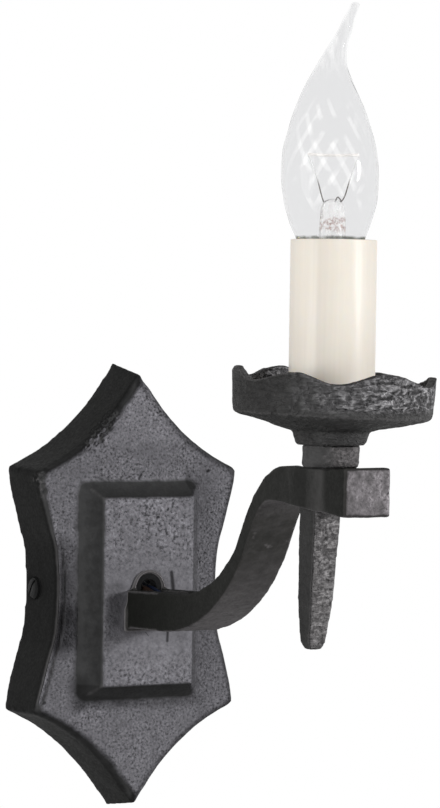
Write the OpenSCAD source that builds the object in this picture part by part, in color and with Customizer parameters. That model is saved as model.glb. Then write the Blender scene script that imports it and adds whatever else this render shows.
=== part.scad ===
// Torch sconce: an iron wall light that holds one candle lamp.
// Millimetres, with +Z up. The wall is the plane Y = 0 and the light stands out towards -Y.
// The origin is the centre of the back plate, on the wall.
// "Out" in a name or comment is the distance from the wall.

/* [Back plate] */
// Half width across the side points, at the front face
plate_half_w = 40.5; // [37:0.5:48]
// Height of the side points above the centre, at the front face
plate_shoulder = 43.4; // [41:0.2:50]
// Height of the top point above the centre, at the front face
plate_tip = 79.7; // [74:0.1:92]
// Depth from the wall to the front face
plate_depth = 24.5; // [22:0.5:30]
// How far the upright side edges curve in
side_curve = 7.8; // [6:0.2:9]
// How far the slanting edges curve in
tip_curve = 5.3; // [3:0.1:6.5]
// How far the sides spread out towards the wall
plate_draft = 1.6; // [0.6:0.1:2.4]
// Thickness of the casting
plate_wall = 3.2; // [2.6:0.1:3.8]
// Width of the worn bevel round the front face
plate_edge = 1.2; // [0.6:0.1:1.8]

/* [Raised panel] */
// Half width of the panel at its foot
panel_half_w = 24.6; // [23:0.2:27]
// Half height of the panel at its foot
panel_half_h = 40.6; // [38:0.2:44]
// How far the panel stands out from the plate
panel_rise = 8.2; // [6:0.2:11]
// How far the panel's bevelled sides lean in
panel_bevel = 6.4; // [5:0.1:7.5]

/* [Wall bracket] */
// Width of the steel strap
strap_w = 16; // [15:0.5:20]
// Thickness of the strap
strap_t = 1.6; // [1.2:0.1:2.2]
// Distance between the two wall screw holes
wall_screw_spacing = 42; // [41:0.5:43]
// Diameter of the wall screw holes
wall_screw_hole = 4.8; // [4:0.1:5.5]
// Diameter of the hole for the supply cable
supply_hole = 12; // [9:0.5:14]
// Depth of the side screws out from the wall
side_screw_out = 7; // [6.5:0.1:8.5]
// How far the strap's turned ears stand out from the wall
ear_out = 12.5; // [12:0.1:14]
// Outer diameter of the clinch nuts
clinch_od = 7; // [6:0.1:8]
// Length of the clinch nuts
clinch_len = 3.2; // [2.5:0.1:4]

/* [Screws] */
// Thread diameter of the machine screws
screw_d = 4; // [3.5:0.1:4.4]
// Head diameter of the side screws
side_head_d = 7.6; // [7:0.1:8]
// Height of the side screws' heads
side_head_h = 2.4; // [1.8:0.1:3]
// Thread length of the side screws
side_screw_len = 10; // [9:0.5:13]
// Width of a screwdriver slot
slot_w = 1; // [0.8:0.1:1.3]
// Depth of a screwdriver slot
slot_deep = 1.1; // [0.8:0.1:1.4]
// Across flats of the arm bolts
bolt_flats = 7; // [6.5:0.1:7.4]
// Height of the arm bolts' heads
bolt_head_h = 2.8; // [2.4:0.1:3.2]
// Thread length of the arm bolts
bolt_len = 16; // [12:0.5:18]
// Distance between the two arm bolts
bolt_spacing = 9.4; // [9.2:0.1:9.8]
// Thickness of the washers under the arm bolts
bolt_washer_t = 0.8; // [0.6:0.1:1.1]
// Diameter of the washers under the arm bolts
bolt_washer_d = 9; // [8.4:0.1:9.1]

/* [Arm] */
// Width of the arm
arm_w = 17.3; // [16.5:0.1:19]
// Height of the arm's root, on the panel
root_h = 13.6; // [13:0.1:15]
// Height of the root's top edge above the plate's centre
root_top = 0.5; // [-0.5:0.1:1.5]
// Angle at which the root climbs
root_climb = 3; // [1:0.5:5]
// Distance from the wall to the candle's axis
reach = 164.5; // [158:0.5:175]
// Height of the arm's top above the plate's centre, at the candle
arm_top = 51.7; // [48:0.1:56]
// Distance from the candle's axis back to the thinnest part of the neck
neck_back = 46; // [44:0.5:48]
// Depth of the neck's middle below the arm's top
neck_drop = 29.7; // [28:0.1:32]
// Angle at which the neck climbs
neck_climb = 58; // [54:1:62]
// Thickness of the neck
neck_t = 5.6; // [5.2:0.1:6.4]
// Distance out from the lower bend's start to the neck, along the arm's top
bend_len = 43.5; // [41:0.5:46]
// The same along the arm's underside
bend_len_under = 57.5; // [54:0.5:60]
// Distance from the candle's axis back to the upper bend's end, along the arm's top
corner_back = 14.5; // [13.5:0.5:16]
// The same along the arm's underside
corner_back_under = 25.5; // [24:0.5:27]
// Height of the squared end block
block_h = 12; // [11.6:0.1:13]
// How far the end block stands out past the candle's axis
end_past = 23.9; // [20:0.1:28]
// Flat left round the neck collar before the end block flares
seat_margin = 2; // [1:0.5:4]
// How much the end block flares at its top and bottom edges
end_flare = 1.1; // [0.4:0.1:1.8]
// How far the foot stands out round the arm's root
foot_margin = 1.3; // [0.8:0.1:1.5]
// Thickness of the foot
foot_t = 1.2; // [0.8:0.1:1.8]
// Width of the wire channel
channel_w = 7; // [6:0.1:8]
// How far the channel's floor rises along the root
channel_rise = 1.2; // [0.6:0.1:1.6]
// Metal left under the channel in the neck and the end block
channel_web = 2.3; // [2:0.1:2.5]

/* [Cable hole] */
// Diameter of the cable hole in the panel
cable_hole = 10.2; // [9.6:0.1:10.8]
// Height of the cable hole above the plate's centre
cable_hole_up = 1.6; // [1.4:0.1:2]
// Bore of the rubber grommet
grommet_bore = 6.4; // [6:0.1:7]
// Diameter of the grommet's flange, inside the plate
grommet_flange = 12.2; // [11.8:0.1:12.4]
// Thickness of the grommet's flange
grommet_flange_t = 1.4; // [1:0.1:2]

/* [Spike] */
// Width of the spike at its top
spike_w = 9.8; // [8.5:0.1:11]
// Depth of the spike at its top, out from the wall
spike_d = 8.3; // [7.5:0.1:9]
// Width of the spike above its rounded foot
spike_foot_w = 6; // [5:0.1:7]
// Depth of the spike above its rounded foot
spike_foot_d = 4.9; // [4:0.1:6]
// Length of the spike below the arm
spike_len = 48; // [42:0.5:52]
// Length of the spike's rounded foot
spike_round = 2.4; // [1.5:0.1:3.5]
// Distance of the spike's top behind the candle's axis
spike_back = 5.2; // [4.5:0.1:6]
// How far the spike's foot leans back towards the wall
spike_lean = 4.4; // [2:0.1:6]
// Diameter of the tenon that holds the spike
tenon_d = 5; // [4:0.1:6]
// Length of the tenon
tenon_len = 3; // [2:0.1:3]

/* [Neck and drip pan] */
// Diameter of the neck collar
collar_d = 18.5; // [17:0.1:20]
// Height of the neck collar
collar_h = 7.7; // [6:0.1:9]
// Diameter of the pan's hub where it meets the collar
hub_d = 21.4; // [20.5:0.1:23]
// Diameter of the hub's top
hub_top_d = 25.2; // [24:0.1:27]
// Height of the hub
hub_h = 4.5; // [4:0.1:5.5]
// Diameter of the pan where its underside turns up
pan_crease_d = 64.6; // [61:0.2:70]
// Height of that turn above the hub's foot
pan_crease_h = 9.7; // [9:0.1:11]
// Diameter of the rim
rim_d = 67.6; // [66:0.2:74]
// Height of the rim's low points above the hub's foot
rim_low = 20; // [18.5:0.1:22]
// Height of the rim's high points above the hub's foot
rim_high = 24.6; // [23.5:0.1:27]
// Half width of the narrow land on each high point
rim_land = 0.8; // [0.4:0.1:1.5]
// Number of lobes round the rim
lobes = 6; // [5:1:8]
// Direction of the rim's first dip, from the right-hand side
lobe_turn = 3; // [0:1:60]
// Thickness of the pan's wall
pan_wall = 2.2; // [1.8:0.1:2.8]
// Thickness of the hub's floor, from its foot to the candle's seat
pan_floor = 6.5; // [6.5:0.1:7.5]

/* [Threaded tube] */
// Diameter of the threaded tube
tube_d = 10; // [9.6:0.1:10.4]
// Bore of the threaded tube
tube_bore = 8; // [7.4:0.1:8.4]
// Depth of the tube in the arm
tube_grip = 2.8; // [2.2:0.1:3]
// Length of tube that shows above the locknut
tube_proud = 1.6; // [1:0.1:3]
// Across flats of the locknut
locknut_flats = 14; // [13:0.1:15]
// Height of the locknut
locknut_h = 3; // [2.4:0.1:4]
// Diameter of the washer under the locknut
locknut_washer_d = 17; // [16.5:0.1:19]
// Thickness of that washer
locknut_washer_t = 1; // [0.8:0.1:1.4]

/* [Candle sleeve and lampholder] */
// Outer diameter of the candle sleeve
sleeve_d = 28.4; // [28:0.1:29.4]
// Thickness of the sleeve's wall
sleeve_wall = 1; // [0.8:0.1:1.2]
// Length of the sleeve
sleeve_len = 60.6; // [58:0.1:66]
// Thickness of the bracket's sheet steel
bracket_t = 1; // [0.8:0.1:1.2]
// Width of the bracket's upright
upright_w = 8; // [6:0.5:10]
// Overlap of the upright and the lampholder's body
upright_grip = 14; // [10:0.5:18]
// Outer diameter of the lampholder's body
holder_d = 21; // [20.6:0.1:21.4]
// Length of the lampholder's body
holder_len = 32; // [31:0.5:34]
// Depth of the lampholder's rim below the sleeve's top
holder_below = 11; // [10:0.1:12]
// Thickness of the body's floor
holder_floor = 8; // [7:0.5:9]

/* [Lamp] */
// Outer diameter of the lamp cap's thread
cap_d = 13.8; // [13.6:0.1:14]
// Pitch of the lamp cap's thread
thread_pitch = 2.822; // [2.6:0.001:3]
// Height of the thread
thread_h = 0.7; // [0.5:0.05:0.8]
// Thickness of the cap's and the shell's sheet metal
sheet_t = 0.35; // [0.3:0.05:0.45]
// Length of the cap's metal shell
cap_len = 20.5; // [19.5:0.1:22]
// Length of the plain skirt above the thread
cap_skirt = 6; // [5:0.1:7]
// Height of the cap's insulator
insulator_h = 2.6; // [2:0.1:3.2]
// Height of the cap's contact
contact_h = 1.4; // [1:0.1:1.8]
// Depth of the cap's rim below the sleeve's top
cap_below = 7; // [6:0.1:8]
// Largest diameter of the glass
bulb_d = 32.2; // [30:0.1:35]
// Height of the widest part above the cap
bulb_widest = 28; // [25:0.1:31]
// Height at which the glass starts to bend, above the cap
bulb_bend = 63.5; // [60:0.1:66]
// Height of the glass's tip above the cap
bulb_h = 84.8; // [80:0.1:90]
// Sideways reach of the bent tip
tip_reach = 7.6; // [5:0.1:10]
// Direction of the bent tip, from the right-hand side
tip_heading = -28; // [-60:1:0]
// Diameter of the glass where it starts to bend
bend_d = 10.4; // [9:0.1:12]
// Thickness of the glass
glass_t = 0.8; // [0.6:0.1:1]
// Diameter of the wires inside the lamp
lead_d = 0.7; // [0.5:0.05:0.9]
// Height of the glass stem above the cap
stem_up = 20.4; // [18:0.1:24]
// Height of the filament above the cap
filament_up = 34.6; // [32:0.1:38]
// Half width of the filament's zigzag
filament_half = 8; // [6:0.1:9]

/* [Terminal block] */
// Distance between the two ways
way_pitch = 10; // [9.6:0.1:11]
// Length of the block along a wire
block_len = 17; // [15:0.5:19]
// Height of the block from its seat
block_high = 13.5; // [13:0.1:15]
// Height of the block's lower end above the plate's centre
block_up = 10.5; // [10:0.1:11.5]
// Diameter of the brass barrels
barrel_d = 5.2; // [4.8:0.1:5.6]
// Bore of the barrels
barrel_bore = 3.2; // [2.9:0.1:3.5]
// Height of the barrels' axis above the block's seat
barrel_up = 6; // [5.5:0.1:6.5]
// Height of the cast seat under the block
seat_h = 1.5; // [1:0.1:2]

/* [Earth] */
// Distance of the bracket's earth screw from the centre line
earth_side = 11; // [10.8:0.1:11.4]
// Height of the plate's earth screw below the plate's centre
earth_down = 24; // [22:0.5:26]
// Diameter of the cast boss for the earth screw
earth_boss_d = 9; // [8:0.1:10]
// Height of that boss
earth_boss_h = 3; // [2:0.1:4]
// Thickness of the ring terminals and their washers
ring_t = 0.9; // [0.7:0.1:1.1]
// Outer diameter of the ring terminals
ring_d = 8.6; // [8:0.1:9]
// Head diameter of the earth screws
earth_head_d = 7; // [6.4:0.1:7.6]
// Thread length of the earth screw in the plate
earth_screw_len = 5; // [4.5:0.1:5.4]

/* [Wires] */
// Diameter of the insulated lampholder wires
wire_d = 2.2; // [1.8:0.1:2.3]
// Gap between the two wires, and half of that to what they lie in
wire_gap = 0.2; // [0.15:0.05:0.3]
// Diameter of the earth lead
earth_wire_d = 2.6; // [2.2:0.1:2.8]
// Sheet thickness of the ring terminals' crimped barrels
crimp_t = 0.6; // [0.5:0.1:0.8]
// Length of the crimped barrels
crimp_len = 5; // [4:0.5:6]

/* [Hidden] */
$fn = 64;

// Gap round a screw in a drilled hole, and round a thread or press fit in its own hole
hole_gap = 0.15;
thread_gap = 0.05;
// Gap at an edge that is only located
seat_gap = 0.25;
// How far a cutter runs past the face that it opens
cut = 1;
// Steps along a curve
arc_steps = 10;
// Steps between two points of a wire's route
wire_steps = 2;

// Plate and panel
screw_r = screw_d / 2;
panel_out = plate_depth + panel_rise;
panel_in = panel_out - plate_wall;
panel_top_w = panel_half_w - panel_bevel;
panel_top_h = panel_half_h - panel_bevel;
// Half width of the plate where the side screws enter, and the flat that their heads sit on
side_out = plate_half_w - side_curve + plate_draft * (1 - side_screw_out / plate_depth);
side_seat = side_out - 0.9;
recess_d = side_head_d + 1.8;
// Half width inside the plate at the ears' outer end
ear_room = plate_half_w - side_curve - plate_wall
  + plate_draft * (1 - ear_out / (plate_depth - plate_wall));
ear_face = ear_room - seat_gap;
ear_inner = ear_face - strap_t;
clinch_neck_d = clinch_od - 1.6;

// Arm: the neck's middle, the root's lower edge and the two ends of the lower bend
neck = [reach - neck_back, arm_top - neck_drop];
climb = [cos(neck_climb), sin(neck_climb)];
creep = [cos(root_climb), sin(root_climb)];
root_bottom = root_top - root_h;
block_bottom = arm_top - block_h;
end_out = reach + end_past;
bend_start = neck[0] - bend_len;
bend_start_under = neck[0] - bend_len_under;
corner_top = reach - corner_back;
corner_under = reach - corner_back_under;
// Flat seats on the end block, for the collar above and the spike below
seat_end = reach + collar_d / 2 + seat_margin;
channel_root = cable_hole_up - cable_hole / 2;
tenon_hole = tenon_len + 0.2;
channel_floor = block_bottom + tenon_hole + 1.4;
bolt_up = (root_bottom + channel_root) / 2;
spike_out = reach - spike_back;

// Heights on the candle's axis
collar_top = arm_top + collar_h;
pan_seat = collar_top + pan_floor;
washer_base = pan_seat + bracket_t;
nut_base = washer_base + locknut_washer_t;
tube_top = nut_base + locknut_h + tube_proud;
sleeve_top = pan_seat + sleeve_len;
holder_top = sleeve_top - holder_below;
holder_base = holder_top - holder_len;
floor_top = holder_base + holder_floor;
cap_top = sleeve_top - cap_below;
cap_base = cap_top - cap_len;
contact_tip = cap_base - insulator_h - contact_h;

// Lampholder
holder_r = holder_d / 2;
tube_r = tube_d / 2;
upright_in = holder_r + 0.1;
upright_top = holder_base + upright_grip;
rivet_r = 1.4;
rivet_up = holder_base + 4;
sleeve_in = sleeve_d / 2 - sleeve_wall;
cap_root = cap_d / 2 - thread_h;
shell_crest = cap_d / 2 + 0.4;
shell_bore = shell_crest + thread_h + sheet_t + thread_gap;
wire_hole_r = wire_d / 2 + hole_gap;
wire_hole_side = 5;
wire_hole_deep = 4.5;

// Lamp
glass_neck = cap_root + thread_h - sheet_t - thread_gap;
bend_up = cap_top + bulb_bend;
widest_up = cap_top + bulb_widest;
tip_rise = bulb_h - bulb_bend;
stem_top = cap_top + stem_up;
filament_z = cap_top + filament_up;

// Terminal block and earth
block_screw_r = 1.5;
clamp_r = 1.3;
block_face = panel_in - seat_h;
block_back = block_face - block_high;
block_mid = block_up + block_len / 2;
barrel_out = block_face - barrel_up;
earth_face = panel_in - earth_boss_h;
crimp_r = earth_wire_d / 2 + thread_gap + crimp_t;
crimp_start = ring_d / 2 - 0.3;
crimp_end = crimp_start + crimp_len;

// --- Helpers ---

function unit(v) = v / norm(v);
function left(v) = [-v[1], v[0]];
function heading(a) = [cos(a), sin(a)];
function reversed(list) = [for (i = [len(list) - 1:-1:0]) list[i]];
function rectangle(w, h) = [[w, -h], [w, h], [-w, h], [-w, -h]];

// Points of an arc from p to q that bulges to the left by sag, without q itself
function arc(p, q, sag) =
  let (
    along = unit(q - p),
    side = left(along),
    half = norm(q - p) / 2,
    r = (half * half + sag * sag) / (2 * sag),
    centre = (p + q) / 2 + side * (sag - r),
    sweep = asin(half / r)
  )
  [for (i = [0:arc_steps - 1])
    let (a = -sweep + 2 * sweep * i / arc_steps)
    centre + r * (cos(a) * side + sin(a) * along)];

// Angle between a chord and the end of its arc
function arc_turn(chord, sag) = 2 * atan(2 * sag / chord);

// Points of a cubic curve, without its last one
function curve(p0, p1, p2, p3) =
  [for (i = [0:arc_steps - 1])
    let (t = i / arc_steps, s = 1 - t)
    s * s * s * p0 + 3 * s * s * t * p1 + 3 * s * t * t * p2 + t * t * t * p3];

// The plate's six-pointed outline, grown by g on every side
function plate_outline(g) =
  let (
    shoulder = [plate_half_w, plate_shoulder],
    tip = [0, plate_tip],
    slope = unit(tip - shoulder),
    slope_a = atan2(slope[1], slope[0]),
    tip_turn = arc_turn(norm(tip - shoulder), tip_curve),
    rise_a = slope_a + tip_turn,
    fall_a = 270 - arc_turn(2 * plate_shoulder, side_curve),
    c = shoulder - heading((rise_a + fall_a) / 2) * g / sin((fall_a - rise_a) / 2),
    t = tip + [0, g / sin(slope_a - tip_turn - 90)],
    side_sag = c[0] - (plate_half_w - side_curve + g),
    outward = -left(slope),
    arc_middle = (shoulder + tip) / 2 - outward * (tip_curve - g),
    tip_sag = ((c + t) / 2 - arc_middle) * outward,
    half = concat(arc([c[0], -c[1]], c, side_sag), arc(c, t, tip_sag),
      arc(t, [-c[0], c[1]], tip_sag))
  )
  concat(half, -half);

// The middle of n of the points, from number k on
function middle(points, k, n) = [for (i = [k:k + n - 1]) 1] * [for (i = [k:k + n - 1]) points[i]] / n;

// A closed skin over a stack of rings, each of n points, with end caps that fan out from their middle
module skin(rings, n) {
  foot = len(rings);
  last = foot - n;
  sides = [for (j = [0:n:last - n]) for (i = [0:n - 1])
    let (a = j + i, b = j + (i + 1) % n)
    each [[a, b + n, b], [a, a + n, b + n]]];
  caps = [for (i = [0:n - 1])
    let (next = (i + 1) % n)
    each [[foot, i, next], [foot + 1, last + next, last + i]]];
  polyhedron(concat(rings, [middle(rings, 0, n), middle(rings, last, n)]), concat(sides, caps),
    convexity = 8);
}

// A solid through upright outlines that are stacked out from the wall: [distance out, outline]
module stack_out(layers) {
  skin([for (l = layers) for (p = l[1]) [p[0], -l[0], p[1]]], len(layers[0][1]));
}

// A solid through level outlines: [height, outline]
module stack_up(layers) {
  skin([for (l = layers) for (p = l[1]) [p[0], p[1], l[0]]], len(layers[0][1]));
}

// A side view drawn as [distance out, height], given its width across
module side_view(w) {
  rotate([90, 0, -90]) linear_extrude(w, center = true) children();
}

// Children placed on the candle's axis at height z
module on_axis(z) {
  translate([0, -reach, z]) children();
}

// A round bar or hole that runs out from the wall
module bar_out(r, from, to) {
  translate([0, -from, 0]) rotate([90, 0, 0]) cylinder(r = r, h = to - from);
}

module ring(r_out, r_in, h) {
  difference() {
    cylinder(r = r_out, h = h);
    translate([0, 0, -cut]) cylinder(r = r_in, h = h + 2 * cut);
  }
}

module hexagon(flats, h) {
  cylinder(d = flats / cos(30), h = h, $fn = 6);
}

// A slotted screw with its seat at the origin, its head above and its shank below
module slotted_screw(r, head_r, head_h, shank, slot, deep) {
  difference() {
    union() {
      translate([0, 0, -shank]) cylinder(r = r, h = shank + head_h / 2);
      rotate_extrude() polygon([[0, 0], [head_r, 0], [head_r, head_h * 0.55],
        [head_r * 0.84, head_h * 0.86], [head_r * 0.5, head_h], [0, head_h]]);
    }
    translate([-head_r - cut, -slot / 2, head_h - deep])
      cube([2 * (head_r + cut), slot, deep + cut]);
  }
}

// Profile points of a threaded wall, drawn as rings one pitch apart
function ridges(r, z, count) =
  [for (i = [0:count - 1]) each [
    [r, z + i * thread_pitch],
    [r + thread_h, z + (i + 0.3) * thread_pitch],
    [r + thread_h, z + (i + 0.6) * thread_pitch],
    [r, z + (i + 0.9) * thread_pitch]]];

// A smooth route through hand-set points
function route_point(p, i, t) =
  let (
    n = len(p) - 1,
    a = p[max(i - 1, 0)],
    b = p[i],
    c = p[min(i + 1, n)],
    d = p[min(i + 2, n)]
  )
  b + (c - a) * t / 2 + (2 * a - 5 * b + 4 * c - d) * t * t / 2
    + (3 * b - a - 3 * c + d) * t * t * t / 2;
function route(p) = concat(
  [for (i = [0:len(p) - 2]) for (k = [0:wire_steps - 1]) route_point(p, i, k / wire_steps)],
  [p[len(p) - 1]]);

// A round wire of diameter d swept along a route that never runs along the direction beside
module wire(points, d, sides = 8, beside = [1, 0, 0]) {
  path = route(points);
  last = len(path) - 1;
  skin([for (i = [0:last])
    let (
      ahead = unit(path[min(i + 1, last)] - path[max(i - 1, 0)]),
      across = unit(beside - (beside * ahead) * ahead),
      over = cross(ahead, across)
    )
    for (k = [0:sides - 1])
      path[i] + d / 2 * (cos(360 * k / sides) * across + sin(360 * k / sides) * over)], sides);
}

// The inner points of a side view's line, moved up off it by d
function lifted(p, d) =
  [for (i = [1:len(p) - 2]) p[i] + left(unit(p[i + 1] - p[i - 1])) * d];

// Route of a lampholder wire: terminal block, grommet, channel, threaded tube, lampholder.
// s is -1 for live and 1 for neutral.
function lamp_route(s) =
  let (
    way = s * way_pitch / 2,
    side = s * (wire_d / 2 + wire_gap),
    end = s * wire_hole_side,
    lift = wire_d / 2 + wire_gap,
    low = channel_floor + lift,
    floor_line = channel_edge(),
    near = floor_line[0] + [0, lift],
    far = floor_line[1] + [0, lift],
    along = concat([near + (far - near) * 0.35, near + (far - near) * 0.7], lifted(floor_line, lift))
  )
  concat([
      [way, -barrel_out, block_mid - 1], [way, -barrel_out, block_up - 1],
      [way * 0.7, -barrel_out, block_up - 5], [side, -barrel_out - 2, cable_hole_up + 1.2],
      [side, -panel_in + 1, cable_hole_up], [side, -panel_out - foot_t, cable_hole_up - 0.8]],
    [for (p = along) [side, -p[0], p[1]]], [
      [side, -reach + 10, low], [side, -reach + 4.5, low + 0.3], [side, -reach + 1.1, low + 2.2],
      [side, -reach, arm_top], [side, -reach, collar_top], [side, -reach, tube_top - 3],
      [side * 1.2, -reach, tube_top + 1], [(side + end) / 2, -reach, (tube_top + holder_base) / 2],
      [end, -reach, holder_base - 1], [end, -reach, holder_base + 1],
      [end, -reach, holder_base + wire_hole_deep - 1]]);

// Route of the earth lead, from the plate's ring terminal to the bracket's
function earth_route() =
  let (
    plate_out = -(earth_face - ring_t - crimp_r),
    strap_out = -(strap_t + ring_t + crimp_r),
    mid_out = (plate_out + strap_out) / 2,
    lead_start = ring_d / 2 + hole_gap,
    straight = crimp_end + earth_wire_d,
    aside = -(straight + earth_wire_d * 1.2),
    rise = (earth_down - straight) / 3
  )
  [[-lead_start, plate_out, -earth_down], [-crimp_end, plate_out, -earth_down],
    [-straight, plate_out, -earth_down], [aside, plate_out + earth_wire_d * 1.2, -earth_down + rise / 3],
    [aside, mid_out, -earth_down + rise],
    [(aside - earth_side) / 2, strap_out - earth_wire_d * 1.3, -earth_down + rise * 2],
    [-earth_side, strap_out, -straight], [-earth_side, strap_out, -crimp_end],
    [-earth_side, strap_out, -lead_start]];

// --- Wall fixing ---

module wall_bracket() {
  color("silver") difference() {
    union() {
      translate([-ear_face, -strap_t, -strap_w / 2]) cube([2 * ear_face, strap_t, strap_w]);
      for (s = [-1, 1]) translate([s * (ear_face - strap_t / 2) - strap_t / 2, -ear_out, -strap_w / 2])
        cube([strap_t, ear_out, strap_w]);
    }
    for (s = [-1, 1]) {
      translate([s * wall_screw_spacing / 2, 0, 0]) bar_out(wall_screw_hole / 2, -cut, strap_t + cut);
      translate([s * (ear_inner - cut), -side_screw_out, 0]) rotate([0, s * 90, 0])
        cylinder(r = clinch_neck_d / 2 + thread_gap, h = strap_t + 2 * cut);
    }
    bar_out(supply_hole / 2, -cut, strap_t + cut);
    translate([-earth_side, 0, 0]) bar_out(screw_r + thread_gap, -cut, strap_t + cut);
  }
}

// Nuts pressed into the bracket's ears for the side screws
module clinch_nuts() {
  color("gray") for (s = [-1, 1])
    translate([s * ear_face, -side_screw_out, 0]) rotate([0, -s * 90, 0]) difference() {
      union() {
        cylinder(d = clinch_neck_d, h = strap_t + cut);
        translate([0, 0, strap_t]) cylinder(d = clinch_od, h = clinch_len - strap_t);
      }
      translate([0, 0, -cut]) cylinder(r = screw_r + thread_gap, h = clinch_len + 2 * cut);
    }
}

module side_screws() {
  color("dimgray") for (s = [-1, 1])
    translate([s * side_seat, -side_screw_out, 0]) rotate([0, s * 90, 0]) rotate([0, 0, s * 35])
      slotted_screw(screw_r, side_head_d / 2, side_head_h, side_screw_len, slot_w, slot_deep);
}

// --- Back plate ---

module plate_shell() {
  flare = cut * panel_bevel / panel_rise;
  difference() {
    union() {
      stack_out([[0, plate_outline(plate_draft)],
        [plate_depth - plate_edge, plate_outline(0)],
        [plate_depth, plate_outline(-plate_edge)]]);
      stack_out([[plate_depth - cut, rectangle(panel_half_w + flare, panel_half_h + flare)],
        [panel_out, rectangle(panel_top_w, panel_top_h)]]);
    }
    stack_out([[-cut, plate_outline(plate_draft - plate_wall)],
      [plate_depth - plate_wall, plate_outline(-plate_wall)]]);
    stack_out([[plate_depth - plate_wall - cut,
        rectangle(panel_half_w - plate_wall + flare, panel_half_h - plate_wall + flare)],
      [panel_in, rectangle(panel_top_w - plate_wall, panel_top_h - plate_wall)]]);
  }
}

module backplate() {
  color("#3a393b") difference() {
    union() {
      plate_shell();
      translate([0, 0, block_mid]) bar_out(earth_boss_d / 2, block_face, panel_in + cut);
      translate([0, 0, -earth_down]) bar_out(earth_boss_d / 2, earth_face, panel_in + cut);
    }
    // Side screw holes, with a flat recess for each head
    for (s = [-1, 1]) translate([0, -side_screw_out, 0]) rotate([0, s * 90, 0]) {
      cylinder(r = screw_r + hole_gap, h = plate_half_w);
      translate([0, 0, side_seat]) cylinder(d = recess_d, h = plate_half_w);
    }
    translate([0, 0, cable_hole_up]) bar_out(cable_hole / 2, panel_in - cut, panel_out + cut);
    for (s = [-1, 1]) translate([s * bolt_spacing / 2, 0, bolt_up])
      bar_out(screw_r + hole_gap, panel_in - cut, panel_out + cut);
    translate([0, 0, block_mid]) bar_out(block_screw_r + thread_gap, block_face - cut, panel_out - 1);
    translate([0, 0, -earth_down]) bar_out(screw_r + thread_gap, earth_face - cut, panel_out - 1);
  }
}

module cable_grommet() {
  color("#161616") translate([0, 0, cable_hole_up]) difference() {
    union() {
      bar_out(cable_hole / 2 - thread_gap, panel_in - cut, panel_out + foot_t / 2);
      bar_out(grommet_flange / 2, panel_in - grommet_flange_t, panel_in);
    }
    bar_out(grommet_bore / 2, panel_in - grommet_flange_t - cut, panel_out + foot_t + cut);
  }
}

// --- Terminal block and earth ---

module at_ways() {
  for (s = [-1, 1]) translate([s * way_pitch / 2, 0, 0]) children();
}

module at_clamps() {
  at_ways() for (k = [-1, 1]) translate([0, 0, block_mid + k * block_len / 4]) children();
}

module terminal_block() {
  color("ivory") difference() {
    translate([-way_pitch, -block_face, block_up]) cube([2 * way_pitch, block_high, block_len]);
    at_ways() translate([0, -barrel_out, block_up - cut])
      cylinder(r = barrel_d / 2 + thread_gap, h = block_len + 2 * cut);
    at_clamps() bar_out(clamp_r + 0.5, block_back - cut, barrel_out);
    translate([0, 0, block_mid]) bar_out(block_screw_r + hole_gap, block_back - cut, block_face + cut);
  }
}

module terminal_barrels() {
  color("goldenrod") difference() {
    at_ways() translate([0, -barrel_out, block_up + 1]) cylinder(d = barrel_d, h = block_len - 2);
    at_ways() translate([0, -barrel_out, block_up]) cylinder(d = barrel_bore, h = block_len);
    at_clamps() bar_out(clamp_r + thread_gap, barrel_out - barrel_d, barrel_out);
  }
}

// Screws that clamp the wires in the barrels, reached from the wall side
module clamp_screws() {
  color("silver") at_clamps() translate([0, -(barrel_out - wire_d / 2 - thread_gap), 0])
    rotate([-90, 0, 0]) difference() {
      cylinder(r = clamp_r, h = barrel_d / 2 + 1.4);
      translate([-clamp_r - cut, -0.3, barrel_d / 2 + 0.7]) cube([2 * (clamp_r + cut), 0.6, 2 * cut]);
    }
}

module block_screw() {
  color("silver") translate([0, -block_back, block_mid]) rotate([-90, 0, 0])
    slotted_screw(block_screw_r, 2.2, 1.6, block_high + seat_h + plate_wall - 1.5, 0.8, 0.8);
}

// The plate's earth point and the bracket's, each with its seat at the origin
module at_earth_points() {
  translate([0, -earth_face, -earth_down]) rotate([-90, 0, 0]) children(0);
  translate([-earth_side, -strap_t, 0]) rotate([90, 0, 0]) children(1);
}

module earth_screws() {
  color("goldenrod") at_earth_points() {
    translate([0, 0, 2 * ring_t])
      slotted_screw(screw_r, earth_head_d / 2, side_head_h, earth_screw_len + 2 * ring_t, slot_w, slot_deep);
    translate([0, 0, 2 * ring_t])
      slotted_screw(screw_r, earth_head_d / 2, side_head_h, strap_t + 2 * ring_t, slot_w, slot_deep);
  }
}

module earth_washers() {
  color("silver") at_earth_points() {
    ring(ring_d / 2, screw_r + hole_gap, ring_t);
    ring(ring_d / 2, screw_r + hole_gap, ring_t);
  }
}

// Ring terminals on top of the washers, each with a crimped barrel for the lead
module ring_terminals() {
  color("silver") at_earth_points() {
    translate([0, 0, ring_t]) ring_terminal(180);
    translate([0, 0, ring_t]) ring_terminal(-90);
  }
}

module ring_terminal(turn) {
  ring(ring_d / 2, screw_r + hole_gap, ring_t);
  rotate([0, 0, turn]) translate([crimp_start, 0, crimp_r]) rotate([0, 90, 0])
    ring(crimp_r, crimp_r - crimp_t, crimp_len);
}

module earth_lead() {
  color("yellowgreen") wire(earth_route(), earth_wire_d, 8, [0, 1, -1]);
}

module live_wire() {
  color("saddlebrown") wire(lamp_route(-1), wire_d);
}

module neutral_wire() {
  color("royalblue") wire(lamp_route(1), wire_d);
}

// --- Arm ---

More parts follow.
